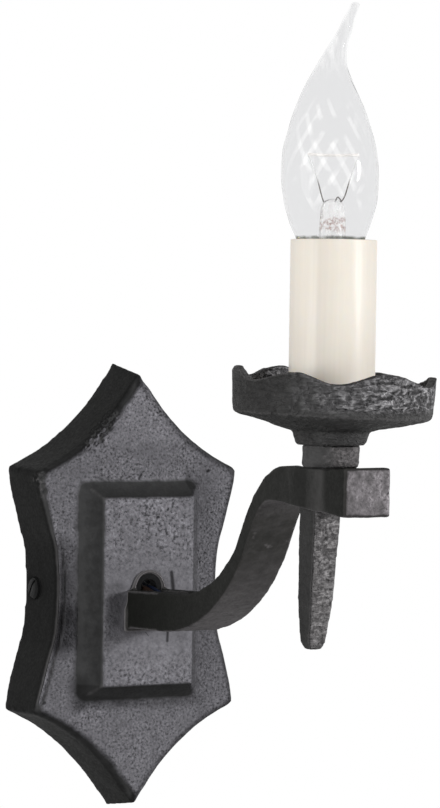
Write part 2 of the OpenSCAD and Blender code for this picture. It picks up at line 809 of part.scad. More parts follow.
function arm_top_edge() =
  let (
    root = [panel_out, root_top],
    start = root + creep * (bend_start - panel_out) / creep[0],
    middle = neck + left(climb) * neck_t / 2,
    corner = [corner_top, arm_top]
  )
  concat([root],
    curve(start, start + creep * bend_len * 0.55, middle - climb * bend_len * 0.12, middle),
    curve(middle, middle + climb * neck_drop * 0.47, corner - [neck_drop * 0.6, 0], corner),
    [corner, [seat_end, arm_top], [end_out, arm_top + end_flare]]);

function arm_under_edge() =
  let (
    root = [panel_out, root_bottom],
    start = root + creep * (bend_start_under - panel_out) / creep[0],
    middle = neck - left(climb) * neck_t / 2,
    corner = [corner_under, block_bottom]
  )
  concat([root],
    curve(start, start + creep * bend_len_under * 0.63, middle - climb * bend_len_under * 0.165, middle),
    curve(middle, middle + climb * neck_drop * 0.47, corner - [neck_drop * 0.27, 0], corner),
    [corner, [seat_end, block_bottom], [end_out, block_bottom - end_flare]]);

function channel_edge() =
  let (
    root = [panel_out + foot_t, channel_root],
    start = [bend_start, channel_root + channel_rise],
    middle = neck - left(climb) * (neck_t / 2 - channel_web),
    corner = [corner_under + tube_r, channel_floor]
  )
  concat([root],
    curve(start, start + creep * bend_len * 0.6, middle - climb * bend_len * 0.2, middle),
    curve(middle, middle + climb * neck_drop * 0.44, corner - [neck_drop * 0.3, 0], corner),
    [corner, [reach, channel_floor]]);

module arm() {
  color("#2e2d2f") difference() {
    union() {
      side_view(arm_w) polygon(concat(arm_under_edge(), reversed(arm_top_edge())));
      // Foot, which goes round the root and the cable hole
      translate([0, -panel_out, 0]) rotate([90, 0, 0]) linear_extrude(foot_t) hull() {
        translate([0, cable_hole_up]) circle(d = cable_hole + 2 * foot_margin, $fn = 32);
        translate([-arm_w / 2 - foot_margin, root_bottom - foot_margin])
          square([arm_w + 2 * foot_margin, root_h / 2 + foot_margin]);
      }
    }
    side_view(channel_w) polygon(concat(channel_edge(),
      [[reach, arm_top + cut], [panel_out + foot_t, arm_top + cut]]));
    translate([0, 0, cable_hole_up]) bar_out(cable_hole / 2, panel_out - cut, panel_out + foot_t);
    for (s = [-1, 1]) translate([s * bolt_spacing / 2, 0, bolt_up])
      bar_out(screw_r + thread_gap, panel_out - cut, panel_in + bolt_len);
    on_axis(channel_floor) cylinder(r = tube_r + thread_gap, h = arm_top - channel_floor + cut);
    translate([0, -spike_out, block_bottom - cut])
      cylinder(r = tenon_d / 2 + thread_gap, h = tenon_hole + cut);
  }
}

module at_arm_bolts() {
  for (s = [-1, 1]) translate([s * bolt_spacing / 2, -panel_in, bolt_up]) rotate([-90, 0, 0])
    children();
}

module arm_bolts() {
  color("gray") at_arm_bolts() translate([0, 0, bolt_washer_t]) {
    hexagon(bolt_flats, bolt_head_h);
    translate([0, 0, -bolt_len]) cylinder(r = screw_r, h = bolt_len + 1);
  }
}

module arm_washers() {
  color("silver") at_arm_bolts() ring(bolt_washer_d / 2, screw_r + hole_gap, bolt_washer_t);
}

function spike_ring(w, d, back) = [for (p = rectangle(w / 2, d / 2)) p - [0, spike_out - back]];

module spike() {
  color("#333234") {
    stack_up([
      [block_bottom - spike_len, spike_ring(spike_foot_w - 2, spike_foot_d - 2, spike_lean)],
      [block_bottom - spike_len + spike_round, spike_ring(spike_foot_w, spike_foot_d, spike_lean)],
      [block_bottom - spike_len * 0.7, spike_ring(spike_w - 1.9, spike_d - 1, spike_lean * 0.7)],
      [block_bottom, spike_ring(spike_w, spike_d, 0)]]);
    translate([0, -spike_out, block_bottom - cut]) cylinder(d = tenon_d, h = tenon_len + cut);
  }
}

// --- Neck, drip pan and threaded tube ---

module neck_collar() {
  r = collar_d / 2;
  bore = tube_r + hole_gap;
  color("#343335") on_axis(arm_top) rotate_extrude() polygon([
    [bore, 0], [r - 1.4, 0], [r - 0.4, 0.5], [r, 1.6], [r, collar_h - 0.6], [r - 0.5, collar_h],
    [bore, collar_h]]);
}

module drip_pan() {
  bore = tube_r + hole_gap;
  crease = pan_crease_d / 2;
  rim = rim_d / 2;
  slope = (pan_crease_h - hub_h) / (crease - hub_top_d / 2);
  seat = sleeve_d / 2 + 1;
  seat_wall = hub_h + slope * (seat - hub_top_d / 2) + pan_wall;
  crease_in = crease - pan_wall;
  crease_in_h = hub_h + slope * (crease_in - hub_top_d / 2) + pan_wall;
  half_chord = rim * sin(180 / lobes) - rim_land;
  dip = rim_high - rim_low;
  scoop = (half_chord * half_chord + dip * dip) / (2 * dip);
  color("#3b3a3c") on_axis(collar_top) difference() {
    rotate_extrude() polygon([
      [bore, 0], [hub_d / 2, 0], [hub_d / 2 + 0.8, 0.8], [hub_top_d / 2, hub_h],
      [crease - 1.5, pan_crease_h - 0.5], [crease, pan_crease_h + 1],
      [rim, rim_high], [rim - pan_wall, rim_high], [crease_in, crease_in_h + 1.4],
      [crease_in - 1.4, crease_in_h], [seat, seat_wall], [seat, pan_floor], [bore, pan_floor]]);
    for (i = [0:lobes - 1]) rotate([0, 0, lobe_turn + 360 * i / lobes])
      translate([seat, 0, rim_low + scoop]) rotate([0, 90, 0]) cylinder(r = scoop, h = rim, $fn = 128);
  }
}

module threaded_tube() {
  color("silver") on_axis(arm_top - tube_grip)
    ring(tube_r, tube_bore / 2, tube_top - arm_top + tube_grip);
}

module locknut_washer() {
  color("silver") on_axis(washer_base)
    ring(locknut_washer_d / 2, tube_r + hole_gap, locknut_washer_t);
}

module locknut() {
  color("goldenrod") on_axis(nut_base) difference() {
    hexagon(locknut_flats, locknut_h);
    translate([0, 0, -cut]) cylinder(r = tube_r + thread_gap, h = locknut_h + 2 * cut);
  }
}

// --- Candle sleeve and lampholder ---

module holder_bracket() {
  color("silver") on_axis(pan_seat) difference() {
    union() {
      cylinder(r = sleeve_in - seat_gap, h = bracket_t);
      translate([-upright_w / 2, upright_in, 0]) cube([upright_w, bracket_t, upright_top - pan_seat]);
    }
    translate([0, 0, -cut]) cylinder(r = tube_r + hole_gap, h = bracket_t + 2 * cut);
    translate([0, upright_in - cut, rivet_up - pan_seat]) rotate([-90, 0, 0])
      cylinder(r = rivet_r + hole_gap, h = bracket_t + 2 * cut);
  }
}

module holder_rivet() {
  color("silver") on_axis(rivet_up) translate([0, upright_in + bracket_t, 0]) rotate([-90, 0, 0]) {
    translate([0, 0, -bracket_t - 3]) cylinder(r = rivet_r, h = bracket_t + 3.4);
    cylinder(r1 = rivet_r + 1, r2 = rivet_r + 0.4, h = 0.8);
  }
}

module at_wire_ends() {
  for (s = [-1, 1]) translate([s * wire_hole_side, 0, 0]) children();
}

module lampholder_body() {
  color("whitesmoke") on_axis(holder_base) difference() {
    cylinder(r = holder_r, h = holder_len);
    translate([0, 0, holder_floor]) cylinder(r = shell_bore, h = holder_len);
    at_wire_ends() translate([0, 0, -cut]) cylinder(r = wire_hole_r, h = wire_hole_deep + cut);
    for (s = [-1, 1]) translate([0, 0, 2.6]) rotate([0, s * 90, 0])
      translate([0, 0, wire_hole_side]) cylinder(r = clamp_r + thread_gap, h = holder_r);
    translate([0, holder_r - 3.1, rivet_up - holder_base]) rotate([-90, 0, 0])
      cylinder(r = rivet_r + thread_gap, h = holder_r);
    translate([0, 0, holder_floor - 3]) cylinder(r = 1.2 + thread_gap, h = 4);
  }
}

module wire_screws() {
  color("goldenrod") on_axis(holder_base + 2.6) for (s = [-1, 1]) rotate([0, s * 90, 0])
    translate([0, 0, wire_hole_side + wire_d / 2 + thread_gap]) difference() {
      cylinder(r = clamp_r, h = holder_r - wire_hole_side - wire_d / 2 - 0.6);
      translate([-0.3, -clamp_r - cut, holder_r - wire_hole_side - wire_d / 2 - 1.3])
        cube([0.6, 2 * (clamp_r + cut), 2 * cut]);
    }
}

module lampholder_shell() {
  first = cap_base + 0.6;
  count = floor((holder_top - 1 - first) / thread_pitch);
  inside = ridges(shell_crest, first, count);
  rim = first + count * thread_pitch;
  profile = concat([[shell_crest, floor_top]], inside, [[shell_crest, rim]]);
  outside = [for (p = profile) p + [sheet_t, 0]];
  color("goldenrod") on_axis(0) rotate_extrude() polygon(concat(outside, reversed(profile)));
}

// Sprung tongue that meets the lamp's contact, on a rivet through the body's floor
module centre_contact() {
  top = contact_tip - 0.3;
  rise = top - floor_top;
  color("goldenrod") {
    on_axis(floor_top - 3) cylinder(r = 1.2, h = 3.2);
    translate([0, -reach, floor_top]) side_view(4) polygon([
      [-4, 0], [4, 0], [4, rise], [-3, rise], [-3, rise - 0.4], [3.6, rise - 0.4], [3.6, 0.4], [-4, 0.4]]);
  }
}

module candle_sleeve() {
  color("#ece5d6") on_axis(pan_seat) ring(sleeve_d / 2, sleeve_in, sleeve_len);
}

// --- Lamp ---

module bulb_cap() {
  first = cap_base + 0.6;
  count = floor((cap_len - cap_skirt - 0.6) / thread_pitch);
  thread_end = first + count * thread_pitch;
  skirt = cap_d / 2;
  profile = concat([[cap_root - 0.6, cap_base], [cap_root, cap_base + 0.4]],
    ridges(cap_root, first, count),
    [[cap_root, thread_end], [skirt, thread_end + 1], [skirt, cap_top]]);
  inside = [for (p = profile) p - [sheet_t, 0]];
  color("silver") on_axis(0) rotate_extrude() polygon(concat(profile, reversed(inside)));
}

module cap_insulator() {
  top_r = cap_root - 0.6 - sheet_t - thread_gap;
  color("#1a1a1a") on_axis(cap_base) rotate_extrude() polygon([
    [0, -insulator_h], [2.6, -insulator_h], [top_r, 0], [top_r, 1.2], [0, 1.2]]);
}

module cap_contact() {
  color("silver") on_axis(contact_tip) rotate_extrude() polygon([
    [0, 0], [1.4, 0], [2.3, contact_h * 0.6], [2.3, contact_h], [0, contact_h]]);
}

function glass_profile() =
  let (
    r = bulb_d / 2,
    foot = [glass_neck, cap_top + 0.4],
    wide = [r, widest_up],
    top = [bend_d / 2, bend_up]
  )
  concat(curve(foot, foot + [2.6, 3], wide - [0, 13.5], wide),
    curve(wide, wide + [0, 14.5], top + [4.4, -11.5], top), [top]);

// Bent tip: rings round a curve that leans over towards its heading
function tip_ring(t) =
  let (
    s = 1 - t,
    lean = 3 * s * t * t * tip_reach * 0.4 + t * t * t * tip_reach,
    rise = tip_rise * (3 * s * s * t * 0.3 + 3 * s * t * t * 0.64 + t * t * t),
    slant = 30 * t,
    r = (bend_d / 2 - thread_gap) * pow(s, 1.7) + 0.8 * t
  )
  [for (k = [0:23]) let (a = 15 * k)
    [lean + r * cos(a) * cos(slant), r * sin(a), rise - r * cos(a) * sin(slant)]];

module bulb_glass() {
  outer = glass_profile();
  inner = [for (p = outer) p - [glass_t, glass_t]];
  foot = cap_top - cap_skirt + 1.6;
  root = [for (p = tip_ring(0)) p - [0, 0, glass_t / 2]];
  color("#dfe8ea", 0.4) on_axis(0) {
    rotate_extrude() polygon(concat([[glass_neck, foot]], outer, [[0, bend_up], [0, bend_up - glass_t]],
      reversed(inner), [[glass_neck - glass_t, foot]]));
    translate([0, 0, bend_up]) rotate([0, 0, tip_heading])
      skin(concat(root, [for (t = [0:0.125:1]) each tip_ring(t)]), 24);
  }
}

// Flared glass tube, pinched flat where the leads come through
module bulb_stem() {
  foot = cap_top - cap_skirt + 2;
  color("#e6ecec", 0.6) on_axis(foot) rotate_extrude() polygon([
    [0, 0], [glass_neck - glass_t - 0.1, 0], [3.8, 5], [3.6, stem_top - foot - 3],
    [3.2, stem_top - foot], [0, stem_top - foot]]);
}

module lead_wires() {
  color("dimgray") on_axis(0) {
    for (s = [-1, 1]) wire([[s * 2.6, 0, stem_top + thread_gap], [s * 2.8, 0, stem_top + 1.5],
      [s * 5, 0, stem_top + 5.5], [s * 6.4, 0, stem_top + 9.5],
      [s * filament_half, 0, filament_z - 0.4]], lead_d, 6);
    wire([[0, 0.7, stem_top + thread_gap], [0, 0.8, stem_top + 5], [0, 1.4, filament_z - 2.4]], lead_d, 6);
  }
}

module filament() {
  color("lightgray") on_axis(filament_z) wire([
    [-filament_half, 0, 0], [-filament_half / 2, 1, 0.2], [0, 1.5, -1.9],
    [filament_half / 2, 1, 0.2], [filament_half, 0, 0]], lead_d - 0.2, 6, [0, 0, 1]);
}

wall_bracket();
clinch_nuts();
backplate();
side_screws();
cable_grommet();
terminal_block();
terminal_barrels();
clamp_screws();
block_screw();
earth_screws();
earth_washers();
ring_terminals();
earth_lead();
live_wire();
neutral_wire();
arm();
arm_bolts();
arm_washers();
spike();
neck_collar();
drip_pan();
threaded_tube();
locknut_washer();
locknut();
holder_bracket();
holder_rivet();
lampholder_body();
lampholder_shell();
centre_contact();
wire_screws();
candle_sleeve();
bulb_cap();
cap_insulator();
cap_contact();
bulb_glass();
bulb_stem();
lead_wires();
filament();
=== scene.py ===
# %% [markdown]
# # Torch sconce
#
# An iron wall light that holds one candle lamp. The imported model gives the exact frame: every bore,
# screw and seat is already in its place. This lesson dresses that frame: it rounds and roughens the
# castings, draws the clear lamp, and gives each piece a finish of shader nodes.
#
# One unit in Blender is one metre here, and MM turns millimetres into it. The wall is the plane Y = 0,
# and the light stands out towards -Y, so a distance "out" from the wall is minus Y.

# %% Load the frame
import math
import bpy
from mathutils import Matrix, Vector
from mathutils import noise as cell_noise


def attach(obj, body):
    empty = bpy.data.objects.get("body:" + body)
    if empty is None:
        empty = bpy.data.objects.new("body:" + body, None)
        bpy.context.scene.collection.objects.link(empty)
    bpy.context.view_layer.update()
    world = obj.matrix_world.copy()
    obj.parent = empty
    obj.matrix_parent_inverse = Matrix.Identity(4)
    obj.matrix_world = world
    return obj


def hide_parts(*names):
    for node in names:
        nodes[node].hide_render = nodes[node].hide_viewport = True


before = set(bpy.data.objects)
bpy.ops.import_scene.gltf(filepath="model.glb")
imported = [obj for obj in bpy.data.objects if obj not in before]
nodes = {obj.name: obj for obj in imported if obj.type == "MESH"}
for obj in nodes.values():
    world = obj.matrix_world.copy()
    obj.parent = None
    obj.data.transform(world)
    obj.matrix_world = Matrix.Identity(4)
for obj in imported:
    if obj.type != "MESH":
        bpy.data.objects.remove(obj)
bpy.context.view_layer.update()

MM = 0.001

# %% [markdown]
# ## Camera
#
# The photograph was taken from the left of the light, a little above its middle. A camera can be set
# by eye with Track To, or by numbers that were fitted to the photograph's edges. The numbers are used
# here, because then each piece falls on its own place in the picture. The camera's three axes are
# worked out one by one: where it looks, what is right, and what is up.

# %% Place the camera
camera_place = Vector((-0.5146, -1.0545, 0.1007))
LENS = 139.6
SENSOR = 36
heading = Vector((0.46947, 0.88295, 0))
PITCH = math.radians(-1.59)
ROLL = math.radians(0.81)
forward = heading * math.cos(PITCH) + Vector((0, 0, 1)) * math.sin(PITCH)
picture_right = forward.cross(Vector((0, 0, 1))).normalized()
picture_up = picture_right.cross(forward)
camera_x = picture_right * math.cos(ROLL) + picture_up * math.sin(ROLL)
camera_y = picture_up * math.cos(ROLL) - picture_right * math.sin(ROLL)

bpy.ops.object.select_all(action="DESELECT")
bpy.ops.object.camera_add()
camera = bpy.context.object
camera.name = "photo_camera"
turn = Matrix((camera_x, camera_y, -forward)).transposed()
camera.matrix_world = Matrix.Translation(camera_place) @ turn.to_4x4()
camera.data.lens = LENS
camera.data.sensor_width = SENSOR
bpy.context.scene.camera = camera
print("camera", [round(v, 4) for v in camera_place], "lens", LENS, "mm")

# %% [markdown]
# ## Light
#
# Black iron and a cream candle in one picture need even light: a white room all round, one large lamp
# in front and to the right that draws the relief, and a weaker one on the left so that the candle stays
# cream on that side too. Small lamps would give hard shadows that the photograph doesn't have, so both
# are area lamps. They are hidden from the camera and from looks through the glass.

# %% Helper for lamps
def soft_lamp(name, place, target, size, watts):
    """A round area lamp, size metres wide, at a place and turned to a target."""
    way = Vector(target) - Vector(place)
    turned = way.to_track_quat("-Z", "Y").to_euler()
    bpy.ops.object.select_all(action="DESELECT")
    bpy.ops.object.light_add(type="AREA", location=place, rotation=turned)
    lamp = bpy.context.object
    lamp.name = name
    lamp.data.shape = "DISK"
    lamp.data.size = size
    lamp.data.energy = watts
    lamp.visible_camera = False
    lamp.visible_transmission = False
    print("lamp", name, watts, "W, size", size, "m")

# %% Hang the lamps
candle = Vector((0, -0.1645, 0.1))
middle = Vector((0, -0.09, 0.05))
soft_lamp("key_lamp", (1.0, -1.3, 0.32), middle, 0.3, 20)
soft_lamp("side_fill", (-1.5, -0.3, 0.15), candle, 1.0, 17)

# %% [markdown]
# ## Sky and floor
#
# The photograph's background is white, but a sky at full white would wash out the iron. So the sky is
# white only where the camera, a reflection or a look through glass meets it, and a third as bright for
# the light that falls on things.
#
# Sky, floor and finishes are trees of shader nodes. Short functions do what repeats in them: add a
# node, feed its sockets with values or other sockets, and do sums.

# %% Helpers for shader nodes
def add_node(tree, kind, **settings):
    """A shader node with its settings: names of inputs go to the sockets, other names to the node."""
    made = tree.nodes.new("ShaderNode" + kind)
    for name, value in settings.items():
        if hasattr(made, name):
            setattr(made, name, value)
        else:
            made.inputs[name.replace("_", " ")].default_value = value
    return made


def link(value, socket):
    """Put a number, a colour or another socket on a socket."""
    if isinstance(value, bpy.types.NodeSocket):
        socket.id_data.links.new(value, socket)
    else:
        socket.default_value = value


def fed(kind, values, spread=(0, 1, 2, 3, 4), **settings):
    """The outputs of a node that is fed with values, in the tree of the first socket among them."""
    tree = next(value.id_data for value in values if isinstance(value, bpy.types.NodeSocket))
    made = add_node(tree, kind, **settings)
    for value, number in zip(values, spread):
        link(value, made.inputs[number])
    return made.outputs


def maths(operation, *values):
    return fed("Math", values, operation=operation)[0]


def times(*values):
    return maths("MULTIPLY", *values)


def looked_at(tree):
    """1 where the camera, a reflection or a look through glass meets a thing, and 0 elsewhere."""
    rays = add_node(tree, "LightPath").outputs
    seen = maths("MAXIMUM", rays["Is Camera Ray"], rays["Is Glossy Ray"])
    return maths("MAXIMUM", seen, rays["Is Transmission Ray"])

# %% Set the sky
AMBIENT = 0.32
world = bpy.data.worlds.new("white_room")
bpy.context.scene.world = world
world.use_nodes = True
sky = world.node_tree
sky.nodes.clear()
air = add_node(sky, "Background", Color=(1, 1, 1, 1))
link(maths("MULTIPLY_ADD", looked_at(sky), 1 - AMBIENT, AMBIENT), air.inputs["Strength"])
link(air.outputs[0], add_node(sky, "OutputWorld").inputs["Surface"])
bpy.context.scene.view_settings.view_transform = "Standard"
print("sky strength", AMBIENT, "for diffuse light and 1 where it is seen")

# %% [markdown]
# The light hangs on a wall, so nothing stands on the floor. A pale plane well below it closes the
# scene for views from above. It glows white where it is seen, with just enough of its own shading for
# a shadow to show.

# %% Lay the floor
FLOOR_LEVEL = -1.1
GLOW_SHARE = 0.97
bpy.ops.object.select_all(action="DESELECT")
bpy.ops.mesh.primitive_plane_add(size=8, location=(0, 0, FLOOR_LEVEL))
floor = bpy.context.object
floor.name = "pale_floor"
floor_paint = bpy.data.materials.new("pale_floor")
floor_paint.use_nodes = True
tree = floor_paint.node_tree
tree.nodes.clear()
matt = add_node(tree, "BsdfDiffuse", Color=(0.9, 0.9, 0.9, 1))
glow = add_node(tree, "Emission", Color=(1, 1, 1, 1), Strength=1.0)
white = times(looked_at(tree), GLOW_SHARE)
paint = fed("MixShader", (white, matt.outputs[0], glow.outputs[0]))[0]
link(paint, add_node(tree, "OutputMaterial").inputs["Surface"])
floor.data.materials.append(floor_paint)
print("floor at", FLOOR_LEVEL, "m")

# %% [markdown]
# ## Finishes
#
# All the dark parts are rough iron, painted black. A painted sheen, which stands in for the key lamp's
# reflection, lightens whatever faces the front, and the walls and slopes that turn away stay black and
# smooth. A texture picture could show that, but noise is sharper close up and needs no unwrapping.
# Noises at three sizes drive colour, roughness and bump together, so that a pit is dark, dull and deep.
# Where the painted sheen falls comes from the direction that a face looks in.

# %% Helpers for finishes
def shader(name):
    """A new material with its main shader and the place on the piece."""
    made = bpy.data.materials.new(name)
    made.use_nodes = True
    print("finish", name)
    place = add_node(made.node_tree, "TexCoord").outputs["Object"]
    return made, made.node_tree.nodes["Principled BSDF"], place


def ramp(source, stops):
    """Colours along a value. Each stop is (place, colour or grey)."""
    made = add_node(source.id_data, "ValToRGB")
    while len(made.color_ramp.elements) < len(stops):
        made.color_ramp.elements.new(0.5)
    for stop, (place, colour) in zip(made.color_ramp.elements, stops):
        stop.position = place
        stop.color = (colour, colour, colour, 1) if isinstance(colour, (int, float)) else (*colour, 1)
    link(source, made.inputs[0])
    return made.outputs["Color"]


def ramp_over(length, span, stops):
    """A ramp along a length. The stops are shares of span, which is in mm."""
    return ramp(maths("DIVIDE", length, span * MM), stops)


def eased(source, start, end, low=0, high=1):
    """From low to high while the source goes from start to end, with soft ends."""
    return fed("MapRange", (source, start, end, low, high), interpolation_type="SMOOTHSTEP")[0]


def mixed(kind, factor, a, b):
    """Two colours joined by a Mix node, whose colour sockets are the seventh and the eighth."""
    return fed("Mix", (factor, a, b), (0, 6, 7), data_type="RGBA", blend_type=kind)[2]


def vectors(operation, *values):
    """Sums with vectors. A distance and a dot product are plain numbers."""
    outputs = fed("VectorMath", values, operation=operation)
    return outputs["Value" if operation in ("DISTANCE", "DOT_PRODUCT") else "Vector"]


def stretched(place, scale):
    """Stretched coordinates, for a pattern that isn't the same in all directions."""
    return fed("Mapping", [place], Scale=scale)[0]


def noise(place, scale, detail, roughness, twist=0.0):
    settings = {"Scale": scale, "Detail": detail, "Roughness": roughness, "Distortion": twist}
    return fed("TexNoise", [place], **settings)["Fac"]


def facing(place, way):
    """How squarely a face looks along a direction: 1 is straight along it and -1 the other way."""
    return vectors("DOT_PRODUCT", place.node.outputs["Normal"], way)


def finish(main, layers, **values):
    """Put values on the main shader, and layers of bumps: (height, depth in mm, strength)."""
    for name, value in values.items():
        link(value, main.inputs[name.replace("_", " ")])
    normal = None
    for height, depth, strength in layers:
        made = add_node(main.id_data, "Bump", Strength=strength, Distance=depth * MM)
        link(height, made.inputs["Height"])
        if normal:
            link(normal, made.inputs["Normal"])
        normal = made.outputs[0]
    link(normal, main.inputs["Normal"])

# %% [markdown]
# ### Iron
#
# The real finish went on in layers, so this one does too. The tone comes first: black walls, slopes
# that take a little painted light and fronts with the painted sheen. Grain, lumps and stains break it
# up, then come scratches and painted shadows, and last the wear on edges and painted shade in the
# recesses. Five castings share these layers, each with its own numbers.

# %% Iron: where the graphite caught, and the tone
# The direction that a face must look in to take the painted sheen: to the front and a little towards
# the key lamp.
SHEEN_WAY = (0.35, -0.937, 0.0)


def painted_sheen_mask(place, parts, turned, reach, under, sheen_from):
    """Painted sheen on the fronts, and painted light from below on undersides as much as under says.
    Below a given height in mm, when one is given, both drop to 0.15.
    """
    painted_sheen = ramp(turned, [(reach[0], 0.0), (reach[1], 1.0)])
    # Painted light from below: faces that look down are lightened as if lit from underneath.
    if under:
        painted_sheen = maths("MAXIMUM", painted_sheen, ramp(facing(place, (0, 0, -1)), [(0.5, 0.0), (0.95, under)]))
    # Below the given height the painted sheen drops to 0.15, which paints shade on the dish's rounded
    # turn.
    if sheen_from:
        above = eased(parts["Z"], (sheen_from - 1) * MM, (sheen_from + 1.6) * MM, 0.15)
        painted_sheen = times(painted_sheen, above)
    return painted_sheen


def iron_tone(parts, squarely, turned, painted_sheen, tones, painted_highlight_end):
    """The tones of black walls, slopes and fronts. Slopes take a painted half light, fronts the painted
    sheen, and faces that turn right away a painted fill light. The last argument, when given, paints a
    highlight on the walls over the arm's tenon.
    """
    black, mid, painted_sheen_tone = tones
    wall = (*black, 1)
    # A painted highlight on the walls, faint from about 124 mm out and strongest about 174 mm out, over
    # the tenon.
    if painted_highlight_end:
        stops = [(0.3, 0.0), (0.62, 0.2), (0.82, 0.2), (0.869, 1.0), (0.885, 0.12)]
        wall = mixed("MIX", ramp_over(parts["Y"], -200, stops), wall, (0.05, 0.049, 0.048, 1))
    # Painted fill light: faces that turn right away from the front are lightened towards the slopes'
    # tone.
    behind = ramp(times(squarely, -1.0), [(0.45, 0.0), (0.85, 1.0)])
    wall = mixed("MIX", behind, wall, (*[0.75 * share for share in mid], 1))
    # Painted half light on the slopes, then the painted sheen on the fronts.
    tone = mixed("MIX", ramp(turned, [(0.0, 0.0), (0.35, 1.0)]), wall, (*mid, 1))
    return mixed("MIX", painted_sheen, tone, (*painted_sheen_tone, 1))

# %% Iron: grain and marks
def speckled(tone, coarse, grains, lumps, stains):
    """Dark pits, lumps and stains. coarse says how rough the skin is there."""
    pits = ramp(grains, [(0.36, 0.18), (0.45, 0.8), (0.56, 1.05), (0.66, 1.55)])
    patches = ramp(stains, [(0.35, 0.55), (0.62, 1.25)])
    tone = mixed("MULTIPLY", times(coarse, patches), tone, pits)
    tone = mixed("MULTIPLY", 0.5, tone, ramp(lumps, [(0.3, 0.65), (0.65, 1.15)]))
    return mixed("MULTIPLY", 0.45, tone, ramp(stains, [(0.35, 0.75), (0.62, 1.1)]))


def scratched_and_shadowed(tone, front, grains, marks):
    """Scratches and painted shadows: strips with ragged sides, each (x, z, x, z, width, how dark) in
    mm.
    """
    for x0, z0, x1, z1, wide, dark in marks:
        along = Vector((x1 - x0, 0, z1 - z0)) * MM
        start = vectors("SUBTRACT", front, (x0 * MM, 0, z0 * MM))
        share = vectors("DOT_PRODUCT", start, along / along.length_squared)
        foot = vectors("MULTIPLY", fed("Clamp", [share])[0], along)
        ragged = maths("MULTIPLY_ADD", grains, 0.9, 0.3)
        gap = vectors("DISTANCE", start, foot)
        inside = maths("DIVIDE", gap, times(ragged, wide * MM))
        tone = mixed("MULTIPLY", dark, tone, ramp(inside, [(0.35, 0.05), (1.0, 1.0)]))
    return tone

# %% Iron: painted shade round a raised panel
PANEL_SHADE_SPAN = 25
# Each stop is (share of the span beside the panel's face, how much of the tone is left under the
# painted shade).
PANEL_SHADE_STOPS = {
    "left": [(0.0, 1.0), (0.025, 0.55), (0.12, 0.72), (0.26, 1.05), (0.3, 0.82), (0.7, 0.8),
        (0.85, 1.0)],
    "right": [(0.0, 1.0), (0.025, 0.45), (0.14, 0.46), (0.26, 0.56), (0.34, 0.66), (0.6, 0.82)],
    "below": [(0.0, 1.0), (0.025, 0.33), (0.2, 0.5), (0.33, 0.52), (0.42, 0.84), (1.0, 0.88)]}


def shaded_round_panel(tone, wear_and_highlight, parts, pointed, half_width, half_height):
    """Painted shade on the panel's slopes and in the hollow round it, and a painted dark outline on
    convex edges. Wear, which also paints a highlight along the lip, stays on the left edge alone."""
    across = maths("SUBTRACT", maths("ABSOLUTE", parts["X"]), half_width * MM)
    above = maths("SUBTRACT", maths("ABSOLUTE", parts["Z"]), half_height * MM)
    beside = maths("DIVIDE", maths("MAXIMUM", across, above), PANEL_SHADE_SPAN * MM)
    # Painted shade beside the panel, with its own stops on the left, on the right and below.
    at_left, at_right, beneath = [ramp(beside, PANEL_SHADE_STOPS[side]) for side in ("left", "right", "below")]
    right = ramp_over(parts["X"], 100, [(0.18, 0.0), (0.186, 1.0)])
    low = ramp_over(parts["Z"], -100, [(0.336, 0.0), (0.342, 1.0)])
    near = ramp_over(across, PANEL_SHADE_SPAN, [(0.25, 1.0), (0.3, 0.0)])
    panel_shade = mixed("MIX", right, at_left, at_right)
    panel_shade = mixed("MIX", times(low, near), panel_shade, beneath)
    left = ramp_over(parts["X"], -40, [(0.2, 0.0), (0.5, 1.0)])
    level = ramp_over(maths("ABSOLUTE", parts["Z"]), 100, [(0.41, 1.0), (0.44, 0.0)])
    left = times(left, level)
    within = maths("MAXIMUM", left, ramp(beside, [(0.28, 1.0), (0.34, 0.0)]))
    # A painted dark outline on convex edges, away from the panel and the left edge.
    rim = mixed("MIX", within, ramp(pointed, [(0.505, 1.0), (0.522, 0.3)]), (1, 1, 1, 1))
    tone = mixed("MULTIPLY", 1.0, mixed("MULTIPLY", 1.0, tone, panel_shade), rim)
    return tone, times(wear_and_highlight, left)

# %% Iron: all layers
FOLD_SIZE = (330, 330, 760)
BARE = (0.22, 0.21, 0.215, 1)


